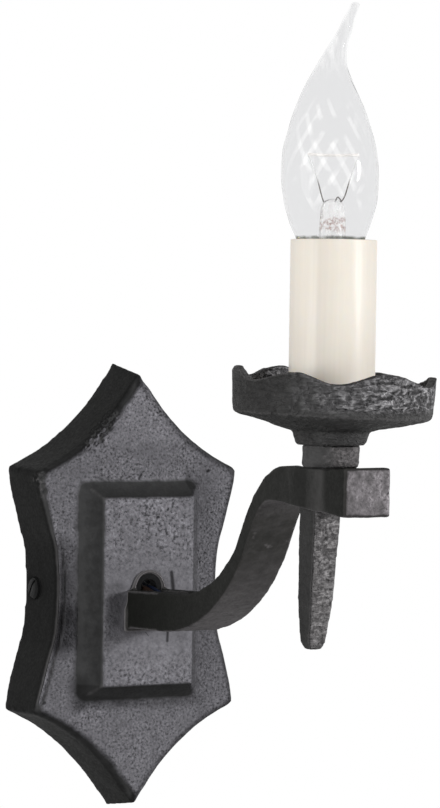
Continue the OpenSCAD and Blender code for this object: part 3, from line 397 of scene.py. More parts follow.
def iron(name, tones, reach=(0.68, 0.9), grain=1.0, depth=1.0, wrinkle=0.0, under=0.0, wear=0.3,
         wear_out=None, joint=None, sheen_from=None, calm=None, panel=None, marks=()):
    """Black iron with a painted sheen that stands in for the key lamp's reflection. All lengths are in
    mm.

    tones are those of walls, slopes and fronts; slopes and fronts take painted light. reach says how
    squarely a face must look along SHEEN_WAY to take the painted sheen, under how much painted light
    from below undersides take, and sheen_from the height where the sheen starts. wrinkle adds folds
    with painted highlights on them. wear lightens edges, up to wear_out out from the wall if that is
    given;
    wear_out also switches on a painted highlight over the arm's tenon. joint is how far out a painted
    highlight along a joint line reaches. calm is (x, z, size) of a spot that was ground smooth, and
    panel the half width and half height of a raised panel, round which shade is painted.
    """
    made, main, place = shader(name)
    parts = fed("SeparateXYZ", [place])
    front = stretched(place, (1, 0, 1))
    grains = noise(place, 1050 * grain, 3, 0.6)
    lumps = noise(place, 330 * grain, 3, 0.5)
    stains = noise(place, 48, 3, 0.55)
    squarely = facing(place, SHEEN_WAY)
    turned = maths("ADD", squarely, maths("MULTIPLY_ADD", lumps, 0.16, -0.08))
    # Painted sheen: a lighter tone where a face turns towards the key lamp's reflection.
    painted_sheen = painted_sheen_mask(place, parts, turned, reach, under, sheen_from)
    coarse = maths("MULTIPLY_ADD", painted_sheen, 0.72, 0.06)
    if calm:
        away = vectors("DISTANCE", front, (calm[0] * MM, 0, calm[1] * MM))
        ground = ramp_over(away, calm[2], [(0.5, 0.3), (1.0, 1.0)])
        coarse = times(coarse, ground)
        painted_sheen = times(painted_sheen, ramp(ground, [(0.3, 0.88), (1.0, 1.0)]))
    # wear_out also switches on the painted highlight over the arm's tenon.
    tone = iron_tone(parts, squarely, turned, painted_sheen, tones, wear_out)
    tone = speckled(tone, coarse, grains, lumps, stains)
    layers = [(times(grains, coarse), depth, 1.0), (times(lumps, coarse), 1.6 * depth, 0.6)]
    if wrinkle:
        folds = noise(stretched(place, FOLD_SIZE), 1.0, 3, 0.55, 0.9)
        # Painted highlights on the tops of the folds, strongest where the painted sheen falls.
        painted_fold_glints = ramp(folds, [(0.38, 0.3), (0.48, 0.72), (0.57, 1.6), (0.66, 2.7)])
        tone = mixed("MULTIPLY", maths("MULTIPLY_ADD", painted_sheen, wrinkle, 0.05), tone, painted_fold_glints)
        layers.append((folds, 1.6 * depth, 0.9 * wrinkle))
    tone = scratched_and_shadowed(tone, front, grains, marks)
    pointed = add_node(main.id_data, "NewGeometry").outputs["Pointiness"]
    # Wear lightens convex edges. The same mask also carries painted highlights along the arm's joint,
    # the plate's left lip and the dish's rim.
    wear_and_highlight = times(ramp(pointed, [(0.515, 0.0), (0.56, 1.0)]), wear)
    if panel:
        tone, wear_and_highlight = shaded_round_panel(tone, wear_and_highlight, parts, pointed, *panel)
    # A painted highlight along the arm's joint with the panel.
    if joint:
        wear_and_highlight = maths("MAXIMUM", wear_and_highlight, ramp_over(parts["Y"], -joint, [(0.98, 0.55), (0.995, 0.0)]))
    if wear_out:
        wear_and_highlight = times(wear_and_highlight, ramp_over(parts["Y"], -wear_out, [(0.98, 1.0), (1.0, 0.1)]))
    # Painted shade in the recesses, where pointiness is low.
    hollow_shade = ramp(pointed, [(0.43, 0.35), (0.486, 1.0)])
    tone = mixed("MULTIPLY", 1.0, mixed("MIX", wear_and_highlight, tone, BARE), hollow_shade)
    finish(main, layers, Base_Color=tone, Specular_IOR_Level=0.06,
        Roughness=ramp(grains, [(0.3, 0.75), (0.7, 0.52)]))
    return made

# %% Mix the five irons
# The first six marks are scratches. The next three are painted shadows of the arm, on the left margin
# and on the panel left of the arm's root, and the last two darken the plate left of and below the
# panel's lower left corner.
SCRATCHES_AND_SHADOWS = [
    (9.4, 6.7, 10.3, 0.4, 1.5, 0.85), (8.2, -14.8, 8.1, -18.4, 1.0, 0.8),
    (-0.9, -14.9, 0.3, -16.3, 0.4, 0.5), (-0.6, 40.8, 0.6, 42.6, 0.8, 0.8),
    (28.0, 43.3, 28.6, 43.6, 1.0, 0.85), (-37.6, -40.4, -37.2, -40.1, 1.0, 0.7),
    (-31, 14, -31, -17, 10, 0.5), (-30, 4, -29, -10, 6, 0.35), (-13.5, 1, -13.5, -10, 6, 0.4),
    (-25, -33, -24, -41, 6, 0.45), (-19, -39.5, -5, -41, 3, 0.3)]
plate_iron = iron("plate_iron", [(0.006, 0.0061, 0.0059), (0.046, 0.046, 0.0465), (0.19, 0.186, 0.203)],
    calm=(3, -7, 26), panel=(18.2, 34.2), marks=SCRATCHES_AND_SHADOWS)
arm_iron = iron("arm_iron", [(0.0075, 0.0078, 0.0068), (0.034, 0.033, 0.0315), (0.29, 0.27, 0.285)],
    reach=(0.84, 1.0), grain=0.95, depth=0.8, under=0.22, wear=0.4, wear_out=58, joint=34.2)
spike_iron = iron("spike_iron", [(0.03, 0.0297, 0.0293), (0.045, 0.044, 0.044), (0.165, 0.159, 0.161)],
    reach=(0.5, 0.94), grain=0.8, depth=1.2, wrinkle=0.5, wear=0.2)
collar_iron = iron("collar_iron",
    [(0.055, 0.0545, 0.0545), (0.065, 0.064, 0.064), (0.135, 0.128, 0.13)],
    reach=(0.4, 1.0), grain=0.85, depth=1.1, wrinkle=0.3, wear=0.2)
# The dish's wear of 0.4 also paints the highlight along its rim.
dish_iron = iron("dish_iron", [(0.037, 0.0366, 0.036), (0.055, 0.0545, 0.054), (0.158, 0.155, 0.16)],
    reach=(0.25, 0.95), grain=0.8, depth=1.5, wrinkle=0.9, wear=0.4, sheen_from=70.8)

# %% [markdown]
# ## Castings from the frame
#
# The frame's castings have the right size but knife-sharp edges, which no sand mould can give. One
# way to soften them is a bevel on each edge. Another is to melt the whole skin: a copy of the solid is
# remeshed into small even squares, and smoothing rounds every edge by about the width of a square. The
# second way is used here, because it leaves even squares for the next step, which pushes the skin in
# and out by a cloud pattern as sand does.

# %% Helpers for castings
def only(piece):
    """Select one object and make it active."""
    bpy.ops.object.select_all(action="DESELECT")
    piece.select_set(True)
    bpy.context.view_layer.objects.active = piece


def apply(piece, kind, **settings):
    """Add a modifier, set it and apply it."""
    only(piece)
    made = piece.modifiers.new(kind.lower(), kind)
    for name, value in settings.items():
        setattr(made, name, value)
    bpy.ops.object.modifier_apply(modifier=made.name)


def merged_copy(node, name):
    """A copy of a CAD node with its loose triangles merged into one skin."""
    piece = bpy.data.objects.new(name, nodes[node].data.copy())
    bpy.context.scene.collection.objects.link(piece)
    piece.data.materials.clear()
    only(piece)
    bpy.ops.mesh.customdata_custom_splitnormals_clear()
    bpy.ops.object.mode_set(mode="EDIT")
    bpy.ops.mesh.select_all(action="SELECT")
    bpy.ops.mesh.remove_doubles(threshold=0.004 * MM)
    bpy.ops.object.mode_set(mode="OBJECT")
    return piece


def weather(piece, square, rounds, grow=0.0):
    """Melt the edges of a piece: even squares of this many mm, then rounds of smoothing. grow gives
    back in mm what the smoothing took off."""
    apply(piece, "REMESH", mode="VOXEL", voxel_size=square * MM, adaptivity=0, use_smooth_shade=True)
    apply(piece, "SMOOTH", factor=0.5, iterations=rounds)
    if grow:
        apply(piece, "DISPLACE", strength=grow * MM, mid_level=0)


def roughen(piece, lumps, height, depth=2):
    """Push the skin in and out by clouds that are lumps mm wide and height mm high."""
    cloud = bpy.data.textures.new(piece.name + "_cloud", "CLOUDS")
    cloud.noise_scale = lumps * MM
    cloud.noise_depth = depth
    apply(piece, "DISPLACE", texture=cloud, strength=height * MM, mid_level=0.6, texture_coords="LOCAL")
    print(piece.name, len(piece.data.polygons), "faces")


def dress(piece, body, slot, material, *stands_for):
    """Give a piece its finish, the body it rides on and the CAD nodes it stands for. slot is not used.
    """
    piece.data.materials.clear()
    piece.data.materials.append(material)
    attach(piece, body)
    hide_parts(*stands_for)


def move_points(piece, rule):
    """Move each point of a piece by a rule that takes its place in mm and gives its new place."""
    for point in piece.data.vertices:
        point.co = rule(point.co / MM) * MM
    piece.data.update()


def smooth_step(value, low, high):
    """0 below low, 1 above high, and an even rise between them."""
    t = min(1, max(0, (value - low) / (high - low)))
    return t * t * (3 - 2 * t)

# %% [markdown]
# ## Back plate
#
# On the real light this is a hollow casting that hides the bracket and the wires. Its pattern was
# carved by hand, so its hollow sides are a little fuller than the frame's arcs. A new outline could be
# drawn, but a rule that moves the points of the melted copy leaves the panel and the holes in place.

# %% Fill out the sides of the star
SHOULDER = 43.4
POINT_RISE = 36.3
HALF_WIDTH = 42.5


def fuller(p):
    """The hollow sides of the star, filled out a little between the points, and straight ridges."""
    high = abs(p.z)
    if high > SHOULDER:
        t = min(1, (high - SHOULDER) / POINT_RISE)
        edge = 41 * (1 - t) ** 1.5 + 1.8 * t
        push = 1.45 + 0.35 * math.copysign(1, p.x * p.z)
        push *= (0.3 + 0.7 * math.sin(math.pi * t)) * smooth_step(abs(p.x) / edge, 0.6, 0.98)
        p.x += math.copysign(0.64 * push, p.x)
        p.z += math.copysign(0.77 * push, p.z)
    else:
        push = 1.3 * smooth_step(high, 14, 28) * (1 - 0.7 * smooth_step(high, 34, SHOULDER))
        p.x += math.copysign(push * smooth_step(abs(p.x), 25.5, 31.5), p.x)
    p.x = max(-HALF_WIDTH, min(HALF_WIDTH, p.x))
    ridge = 83.2 + 0.167 * p.y
    if abs(p.z) > ridge - 1.5 and abs(p.x) < 2.5:
        p.z = math.copysign(ridge - 0.1 - 0.45 * abs(p.x), p.z)
    return p

# %% [markdown]
# The panel's slopes run out into the front in a round hollow, and the six points are rounder than the
# rest. Smoothing the whole plate as much would melt the panel, so each point gets a weight that says
# how much of the extra smoothing it takes.

# %% Soften the foot of the panel and the six points
def soften(piece, where, rounds):
    """More rounds of smoothing where the rule gives a point's place in mm a weight over 0."""
    group = piece.vertex_groups.new(name="soft")
    for point in piece.data.vertices:
        weight = where(point.co / MM)
        if weight > 0.01:
            group.add([point.index], weight, "REPLACE")
    apply(piece, "SMOOTH", factor=0.5, iterations=rounds, vertex_group="soft")
    piece.vertex_groups.clear()


def by_the_panel(p):
    """The foot of the panel's slopes."""
    beside = max(abs(p.x) - 24.6, abs(p.z) - 40.6)
    return smooth_step(-p.y, 20, 23) * (1 - smooth_step(abs(beside), 1.5, 3.5))


def at_the_points(p):
    """The six points of the star."""
    tip = smooth_step(abs(p.z), 76, 79)
    shoulder = smooth_step(abs(p.x), 37, 39.5) * (1 - smooth_step(abs(abs(p.z) - SHOULDER), 2, 4))
    return max(tip, shoulder)

# %% [markdown]
# Metal crept up along the mould and left a proud lip down the left edge of the front, and use left a
# few knocks. Each is a small hill or hole that fades with distance, and noise makes it ragged.

# %% Raise the lip and knock the edges
# Each knock is (x, z, width, depth) in mm.
KNOCKS = [
    (-17.4, 55.6, 2.6, 0.9), (-15.4, 58.4, 2.4, 0.8), (-13.6, 61.5, 2.2, 0.9), (-11.4, 64.6, 2.0, 0.6),
    (-20.2, 52.8, 2.0, 0.5), (-40.0, 41.5, 2.2, 0.7), (-38.6, 36.5, 1.6, 0.5), (3.4, 77.5, 2.0, 0.6)]


def left_edge(z):
    """The left edge of the front, which curves in towards the middle."""
    return -(32.7 + 7.8 * (z / SHOULDER) ** 2)


def plate_skin(p):
    """A proud lip down the left edge of the front, a few knocks, and a back that stays flat."""
    inside = p.x + 1.3 * smooth_step(abs(p.z), 14, 28) - left_edge(p.z)
    if -p.y > 21 and abs(p.z) < 42 and inside < 4:
        lip = math.exp(-((inside - 0.3) / 0.8) ** 2) - 1.3 * math.exp(-((inside - 2.1) / 0.7) ** 2)
        p.y -= 0.5 * lip * (1 - smooth_step(p.z, 8, 30)) * smooth_step(p.z, -43, -39)
    for x, z, wide, deep in KNOCKS:
        near = math.exp(-((p.x - x) ** 2 + (p.z - z) ** 2) / wide ** 2)
        if near > 0.02 and -p.y > 20:
            rough = cell_noise.noise(p * 0.9) + 0.5 * cell_noise.noise(p * 2.1)
            p.y += deep * near * (0.8 + 1.4 * rough)
            p.x += 0.5 * deep * near * rough
    p.y = min(p.y, 0)
    return p

# %% Cast the back plate
plate = merged_copy("backplate", "back_plate")
weather(plate, 0.72, 9, 0.22)
move_points(plate, fuller)
apply(plate, "SMOOTH", factor=0.5, iterations=4)
soften(plate, by_the_panel, 40)
soften(plate, at_the_points, 16)
roughen(plate, 9, 0.3, 1)
move_points(plate, plate_skin)
dress(plate, "sconce", "cast_iron", plate_iron, "backplate")

# %% [markdown]
# ## Arm
#
# The arm looks forged but is cast: a deep root on the panel, a thin rising neck and a thick squared end
# that holds the spike's tenon. The end could be swollen by hand in sculpt mode. Two smooth hills in its
# width and a drop of its underside do it by numbers instead, so they can be changed.

# %% Arm
def swell(p):
    """The end block is hammered to a waist in front of the spike, with a swelling over the tenon."""
    out = -p.y
    if p.z > 33 and out > 138:
        side = 0.9 * math.exp(-((out - 157) / 5) ** 2) - 0.5 * math.exp(-((out - 169) / 5) ** 2)
        p.x += math.copysign(side * min(1, abs(p.x) / 4), p.x)
        p.z -= 1.8 * smooth_step(out, 140, 176) * (1 - smooth_step(p.z, 40.5, 51))
    return p


arm = merged_copy("arm", "arm_casting")
weather(arm, 0.5, 9, 0.2)
move_points(arm, swell)
roughen(arm, 5, 0.45)
dress(arm, "sconce", "cast_iron", arm_iron, "arm")

# %% [markdown]
# ## Spike and neck collar
#
# The spike is a square bar that tapers down from the arm's end, and the collar is a short neck between
# the arm and the dish. Both get smaller squares than the plate, or their edges would melt away. The
# spike's section is deeper than it is wide, which a rule sees to.

# %% Spike
def stretch_back(p):
    """The spike is deeper than it is wide, and its foot keeps its width at the back."""
    if p.z < 39:
        foot = 1 - smooth_step(p.z, -9, 30)
        middle_y = -(159.3 - 4.4 * foot)
        behind = smooth_step(p.y, middle_y - 1, middle_y + 3)
        p.y += (1.5 - 0.5 * foot) * behind
        p.x += math.copysign(0.25 - 0.15 * foot, p.x) * min(1, abs(p.x) / 2)
        p.z -= 0.5 * foot
    return p


spike = merged_copy("spike", "spike_bar")
weather(spike, 0.4, 5, 0.2)
move_points(spike, stretch_back)
roughen(spike, 3.5, 0.4)
dress(spike, "sconce", "cast_iron", spike_iron, "spike")

# %% Neck collar
collar = merged_copy("neck_collar", "collar_casting")
weather(collar, 0.4, 5, 0.15)
roughen(collar, 3.5, 0.9)
dress(collar, "sconce", "cast_iron", collar_iron, "neck_collar")

# %% [markdown]
# ## Drip pan
#
# The dish that would catch the wax is a casting too: a hub, a shallow cone, a sharp turn and an upright
# wall. A cylinder could be cut to this shape, but a section that is extruded point by point and spun
# round the candle's axis keeps all its heights and widths in one list.

# %% Spin an outline round the candle
REACH = 164.5
SIDE_X, SIDE_Y = 0.883, -0.469


def spun(name, outline, steps):
    """Spin (radius, height) points in mm round the candle's axis."""
    bpy.ops.object.select_all(action="DESELECT")
    start = (outline[0][0] * MM, -REACH * MM, outline[0][1] * MM)
    bpy.ops.mesh.primitive_plane_add(size=MM, location=start)
    piece = bpy.context.object
    piece.name = name
    bpy.ops.object.transform_apply()
    bpy.ops.object.mode_set(mode="EDIT")
    bpy.ops.mesh.select_all(action="SELECT")
    bpy.ops.mesh.merge(type="CENTER")
    for (r0, z0), (r1, z1) in zip(outline, outline[1:]):
        bpy.ops.mesh.extrude_vertices_move(
            TRANSFORM_OT_translate={"value": ((r1 - r0) * MM, 0, (z1 - z0) * MM)})
    bpy.ops.mesh.select_all(action="SELECT")
    bpy.ops.mesh.remove_doubles(threshold=0.01 * MM)
    bpy.ops.mesh.spin(steps=steps, angle=2 * math.pi, center=(0, -REACH * MM, 0), axis=(0, 0, 1))
    bpy.ops.mesh.select_all(action="SELECT")
    bpy.ops.mesh.remove_doubles(threshold=0.01 * MM)
    bpy.ops.mesh.normals_make_consistent(inside=False)
    bpy.ops.object.mode_set(mode="OBJECT")
    print(name, len(piece.data.polygons), "faces after the spin")
    return piece

# %% Spin the dish
HUB = 59.4
SEAT = 65.9
CREASE = 69.1
RIM = 84.2
pan = spun("dish", [
    (5.1, HUB), (10.9, HUB), (11.7, HUB + 0.9), (12.6, 63.9), (22, 66.3), (30.4, 68.3),
    (32.4, CREASE), (32.7, 70.4), (33.0, 75), (33.2, 79), (33.4, RIM), (31.0, RIM), (30.9, 79),
    (30.5, 75), (29.8, 72.6), (27, 70.8), (15.2, 68.0), (15.2, SEAT), (5.1, SEAT), (5.1, HUB)], 160)
weather(pan, 0.55, 4, 0.15)

# %% [markdown]
# The rim has six scoops. They could be cut with six cylinders, as in the frame, but no two scoops of
# the real dish are alike. So the rim is pulled down between its peaks: each peak and dip has its own
# direction and height, and the whole dish leans a little.

# %% Pull the rim down between its peaks
# Direction in degrees from +X, and height in mm. Peaks and dips take turns.
RIM_LINE = [(2.5, 80.2), (33, 83.2), (63, 80.0), (94, 84.0), (129, 79.8), (164, 83.9), (187, 79.8),
    (218, 82.9), (242, 79.7), (271, 83.7), (308, 79.9), (332, 83.0), (362.5, 80.2)]
LEAN = 0.035
DISH_RADIUS = 33.5


def rim_height(angle):
    """Height of the rim, which swings between its dips and its peaks."""
    angle = (angle - RIM_LINE[0][0]) % 360 + RIM_LINE[0][0]
    for (a0, h0), (a1, h1) in zip(RIM_LINE, RIM_LINE[1:]):
        if angle <= a1:
            return h0 + (h1 - h0) * smooth_step(angle, a0, a1)
    return h1


def dish(p):
    """Scoop the rim, and let the whole dish lean a little."""
    x, y = p.x, p.y + REACH
    r = math.hypot(x, y)
    if r > 20 and p.z > CREASE + 1.5:
        up = (p.z - CREASE - 1.5) / (RIM - CREASE - 1.5)
        p.z += up * (rim_height(math.degrees(math.atan2(y, x))) - RIM)
    give = LEAN * smooth_step(r, 13, 24)
    rise = p.z - HUB
    p.z -= give * (SIDE_X * x + SIDE_Y * y)
    p.x += give * rise * SIDE_X
    p.y = max(p.y + give * rise * SIDE_Y, -REACH - DISH_RADIUS)
    return p


move_points(pan, dish)
roughen(pan, 3, 0.6)
dress(pan, "sconce", "cast_iron", dish_iron, "drip_pan")

# %% [markdown]
# ## Candle sleeve
#
# The candle is a plain tube of cream plastic that drops over the lampholder and stands on the dish. A
# cylinder with no ends is the start, a thickness makes it a tube, and a small bevel rounds its rims,
# which would otherwise look cut from paper.

# %% Cut the sleeve
SLEEVE_TOP = 126.5
SLEEVE_RADIUS = 14.2
bpy.ops.object.select_all(action="DESELECT")
bpy.ops.mesh.primitive_cylinder_add(vertices=128, radius=SLEEVE_RADIUS * MM,
    depth=(SLEEVE_TOP - SEAT) * MM, end_fill_type="NOTHING",
    location=(0, -REACH * MM, (SLEEVE_TOP + SEAT) / 2 * MM))
sleeve = bpy.context.object
sleeve.name = "candle_tube"
bpy.ops.object.transform_apply()
apply(sleeve, "SOLIDIFY", thickness=1.0 * MM, offset=-1, use_even_offset=True)
apply(sleeve, "BEVEL", width=0.3 * MM, segments=3, limit_method="ANGLE", angle_limit=math.radians(60))
bpy.ops.object.shade_smooth_by_angle(angle=math.radians(40))
print("sleeve from", SEAT, "to", SLEEVE_TOP, "mm")

# %% [markdown]
# The plastic has a faint vertical grain from its extruder and is a little milky, so light goes some way
# in. In the photograph its right side is a little darker than two lamps can make it, so painted shade
# sets its tone by the direction that a face looks in: lighter to the left and front, darker to the
# right.

# %% Cream plastic
cream, main, place = shader("cream_plastic")
grain = noise(stretched(place, (900, 900, 25)), 1.0, 3, 0.5)
blush = noise(place, 30, 3, 0.5)
dust = noise(place, 1400, 2, 0.5)
tone = ramp(blush, [(0.3, (0.83, 0.775, 0.69)), (0.7, (0.88, 0.83, 0.75))])
tone = mixed("MULTIPLY", 0.25, tone, ramp(grain, [(0.3, 0.9), (0.6, 1.0)]))
# Painted shade: faces that turn away from the left and the front are darker.
shade = ramp(facing(place, (-0.6, -0.8, 0)), [(0.2, (0.79, 0.78, 0.77)), (0.97, (0.99, 0.985, 0.98))])
tone = mixed("MULTIPLY", 1.0, tone, shade)
finish(main, [(grain, 0.02, 0.5), (dust, 0.02, 0.4)], Base_Color=tone,
    Roughness=ramp(grain, [(0.3, 0.5), (0.7, 0.36)]), Specular_IOR_Level=0.3,
    Subsurface_Weight=0.4, Subsurface_Radius=(0.004, 0.003, 0.002))
dress(sleeve, "sconce", "sleeve", cream, "candle_sleeve")

# %% [markdown]
# ## Lamp glass
#
# The lamp is a clear candle bulb with a bent tip. The glass is blown into a mould with twisted flutes,
# drawn out, bent over while hot and melted shut in a bead. Its rings are extruded one above the other,
# each with its own width and its own shift to the side, so the belly leans a little one way and the tip
# swings over to the other. A thickness then makes it a hollow shell, as real glass is: a solid drop of
# glass would act as a lens and show the room upside down.

# %% Rings of the glass
SIDE_WAY = Vector((SIDE_X, SIDE_Y, 0))
GLASS_RINGS = [
    (118.6, 6.3, 0), (120.0, 7.0, -0.1), (121.6, 8.2, -0.4), (123.4, 9.7, -0.7),
    (125.6, 10.9, -1.0), (128.1, 11.85, -1.24), (131, 13.1, -1.3), (134, 14.05, -1.34),
    (137, 14.95, -1.35), (139.9, 15.59, -1.36), (143.5, 16.0, -1.48), (147.7, 16.11, -1.61),
    (151.3, 15.98, -1.7), (154.9, 15.66, -1.77), (157.5, 15.1, -1.8), (159.8, 14.5, -1.83),
    (163, 13.65, -1.85), (166.3, 12.6, -1.9), (169.8, 11.3, -2.0), (173.2, 9.95, -2.12),
    (175.8, 8.7, -2.12), (178.4, 7.4, -2.0), (180.8, 6.25, -1.9), (183, 5.25, -1.7),
    (185, 4.5, -1.2), (187.2, 3.85, -0.6), (189.5, 3.2, 0.2), (191.6, 2.8, 1.05),
    (193.7, 2.5, 2.05), (196, 2.25, 2.95), (198.3, 1.9, 3.55), (200.2, 1.75, 4.45),
    (201.9, 1.5, 5.25), (202.6, 1.55, 5.6), (203.3, 1.6, 5.75), (203.9, 1.25, 5.8),
    (204.2, 0.6, 5.8)]
print(len(GLASS_RINGS), "rings from", GLASS_RINGS[0][0], "to", GLASS_RINGS[-1][0], "mm")

# %% Helpers for rings
def tower(name, rings, sides):
    """Extrude rings one above the other: (height, radius, shift to the side), in mm."""
    def middle_of(ring):
        return (Vector((0, -REACH, ring[0])) + SIDE_WAY * ring[2]) * MM

    bpy.ops.object.select_all(action="DESELECT")
    start = middle_of(rings[0])
    bpy.ops.mesh.primitive_circle_add(vertices=sides, radius=rings[0][1] * MM, location=start)
    piece = bpy.context.object
    piece.name = name
    bpy.ops.object.transform_apply()
    bpy.ops.object.mode_set(mode="EDIT")
    bpy.ops.mesh.select_all(action="SELECT")
    for low, high in zip(rings, rings[1:]):
        rise = middle_of(high) - middle_of(low)
        bpy.ops.mesh.extrude_region_move(TRANSFORM_OT_translate={"value": rise})
        grow = high[1] / low[1]
        bpy.ops.transform.resize(value=(grow, grow, 1), center_override=middle_of(high))
    bpy.ops.object.mode_set(mode="OBJECT")
    print(name, len(piece.data.polygons), "faces, top at", rings[-1][0], "mm")
    return piece


def close_top(piece):
    """Fill the last ring, which is still selected, with a fan of faces."""
    only(piece)
    bpy.ops.object.mode_set(mode="EDIT")
    bpy.ops.mesh.edge_face_add()
    bpy.ops.mesh.poke()
    bpy.ops.mesh.select_all(action="SELECT")
    bpy.ops.mesh.normals_make_consistent(inside=False)
    bpy.ops.object.mode_set(mode="OBJECT")

# %% [markdown]
# The flutes are pressed in by a rule on the finished tower: sixteen shallow grooves whose direction
# turns with the height. They could be cut one by one, but a wave round the axis makes all of them at
# once and lets them fade out towards the neck and the tip.

# %% Flute the glass and make it a shell
FLUTES = 16
TWIST = 0.037
AXIS_SHIFT = 1.4


def flute(p):
    """Press twisted flutes into the belly, deepest where it is widest."""
    deep = 0.12 * smooth_step(p.z, 128, 140) * (1 - smooth_step(p.z, 172, 186))
    x, y = p.x + AXIS_SHIFT, p.y + REACH
    angle = math.atan2(y, x) + TWIST * p.z
    away = Vector((x, y, 0)).normalized()
    return p - away * deep * (0.5 + 0.5 * math.cos(FLUTES * angle))


glass_shell = tower("lamp_glass_shell", GLASS_RINGS, 144)
close_top(glass_shell)
move_points(glass_shell, flute)
apply(glass_shell, "SUBSURF", levels=1, render_levels=1)
apply(glass_shell, "SOLIDIFY", thickness=0.45 * MM, offset=-1)
bpy.ops.object.shade_smooth()

# %% [markdown]
# Clear glass on white hardly shows, so its finish needs care. The tint is a very light grey that
# deepens towards the outline, where the eye looks through more glass; this darker outline is painted
# shade. The ridges between the flutes get painted highlights: short bright strokes where the tint turns
# white. They cross, because the strokes of the far wall show through the near one. The ridges'
# direction comes from the angle round the axis and the height.

# %% Helpers for masks on the lamp
def around(place):
    """Angle round the lamp's axis and height in mm, as two sockets."""
    parts = fed("SeparateXYZ", [place])
    x = maths("ADD", parts["X"], AXIS_SHIFT * MM)
    y = maths("ADD", parts["Y"], REACH * MM)
    return maths("ARCTAN2", y, x), maths("DIVIDE", parts["Z"], MM)


def window(value, low, full, still, end):
    """A mask that rises from low to full, and falls from still to end."""
    return times(eased(value, low, full), eased(value, still, end, 1, 0))

# %% Strokes in the glass
clear, main, place = shader("clear_glass")
tree = main.id_data
angle, height = around(place)
turned = maths("MULTIPLY_ADD", height, TWIST, angle)
# Painted highlights: the ridges between the flutes turn the tint white.
ridge = maths("ABSOLUTE", maths("SINE", times(turned, FLUTES / 2)))
ridge = ramp(ridge, [(0.78, 0.0), (0.96, 1.0)])
broken = ramp(noise(place, 105, 2, 0.5), [(0.47, 0.0), (0.55, 1.0)])
rim = add_node(tree, "LayerWeight", Blend=0.4)
inner = ramp(rim.outputs["Facing"], [(0.15, 1.0), (0.34, 0.0)])
strokes = times(times(ridge, broken), inner)
strokes = times(strokes, window(height, 134, 139, 166, 176))
# Lighter streaks along the drawn tip, put into the tint with the strokes.
threads = noise(stretched(place, (620, 620, 34)), 1.0, 2, 0.5)
drawn = times(ramp(threads, [(0.5, 0.0), (0.6, 0.75)]), window(height, 178, 187, 203, 205))
strokes = maths("MAXIMUM", strokes, drawn)
print("strokes on", FLUTES, "flutes")

# %% Clear glass
# Painted shade: the tint darkens towards the outline.
tint = ramp(rim.outputs["Facing"], [(0.0, (0.885, 0.886, 0.89)), (0.6, (0.885, 0.886, 0.89)),
    (0.75, (0.8, 0.802, 0.806)), (0.92, (0.55, 0.555, 0.56)), (1.0, (0.25, 0.255, 0.26))])
tint = mixed("MIX", strokes, tint, (1, 1, 1, 1))
# Painted shade: a dark ragged band round the sleeve's rim stands for the shaded gap between glass and
# sleeve.
gap = times(window(height, 125, 126, 127.1, 127.9),
    ramp(noise(place, 260, 2, 0.5), [(0.4, 0.2), (0.55, 1.0)]))
tint = mixed("MIX", gap, tint, (0.3, 0.31, 0.29, 1))
seeds = noise(place, 90, 2, 0.4)
finish(main, [(seeds, 0.12, 0.2)], Base_Color=tint, Transmission_Weight=1, IOR=1.15,
    Roughness=ramp(seeds, [(0.4, 0.0), (0.8, 0.03)]))
shadow = add_node(tree, "LightPath").outputs["Is Shadow Ray"]
see_through = add_node(tree, "BsdfTransparent", Color=(0.97, 0.97, 0.97, 1))
blend = fed("MixShader", (shadow, main.outputs[0], see_through.outputs[0]))[0]
link(blend, tree.nodes["Material Output"].inputs["Surface"])
dress(glass_shell, "lamp_glass", "clear_glass", clear, "bulb_glass")

# %% [markdown]
# ## Inside the lamp
#
# A flared glass tube, the stem, is fused into the neck and pinched flat at its top, where the wires
# come through. It is made of rings like the glass, and a rule then presses the top flat. Its seal is
# reddish, because wire that is clad in copper runs through it.

# %% Stem
INSIDE_SHIFT = -0.5
STEM_RINGS = [(117.4, 6.0), (118.2, 5.7), (119.6, 5.1), (122, 4.7), (126, 4.5), (131, 4.4), (135, 4.2),
    (137.4, 3.8), (138.8, 3.1), (139.6, 2.0), (139.85, 0.7)]
stem = tower("lamp_stem", [(z, r, INSIDE_SHIFT * smooth_step(z, 118, 124)) for z, r in STEM_RINGS], 48)
close_top(stem)


def pinch(p):
    """Press the top of the stem flat."""
    flat = smooth_step(p.z, 131, 137.5)
    p.y = -REACH + (p.y + REACH) * (1 - 0.45 * flat)
    p.x *= 1 + 0.12 * flat
    return p


move_points(stem, pinch)
apply(stem, "SUBSURF", levels=1, render_levels=1)
bpy.ops.object.shade_smooth()

# %% Stem glass
milky, main, place = shader("stem_glass")
height = maths("DIVIDE", fed("SeparateXYZ", [place])["Z"], MM)
seal = window(height, 128.5, 130, 133, 134.5)
net = maths("ABSOLUTE", maths("SUBTRACT", noise(place, 330, 3, 0.6), 0.5))
marks = ramp(net, [(0.012, 1.0), (0.04, 0.0)])
streaks = noise(stretched(place, (700, 700, 150)), 1.0, 2, 0.5)
streaks = ramp(streaks, [(0.42, 0.0), (0.6, 1.0)])
tint = mixed("MIX", streaks, (0.93, 0.92, 0.915, 1), (1, 1, 1, 1))
tint = mixed("MIX", times(marks, seal), tint, (0.42, 0.28, 0.25, 1))
finish(main, [(marks, 0.1, 0.3)], Base_Color=tint, Transmission_Weight=0.85, IOR=1.2,
    Roughness=ramp(streaks, [(0.0, 0.12), (1.0, 0.3)]))
dress(stem, "lamp_glass", "stem_glass", milky, "bulb_stem")

# %% [markdown]
# Two lead wires spread out from the stem to hold the filament across the belly, and a short hook
# stands between them. Wires could be thin cylinders end to end, but a curve with a round bevel bends
# without kinks, so each wire is a curve that is then made a mesh. The filament is a tight coil.

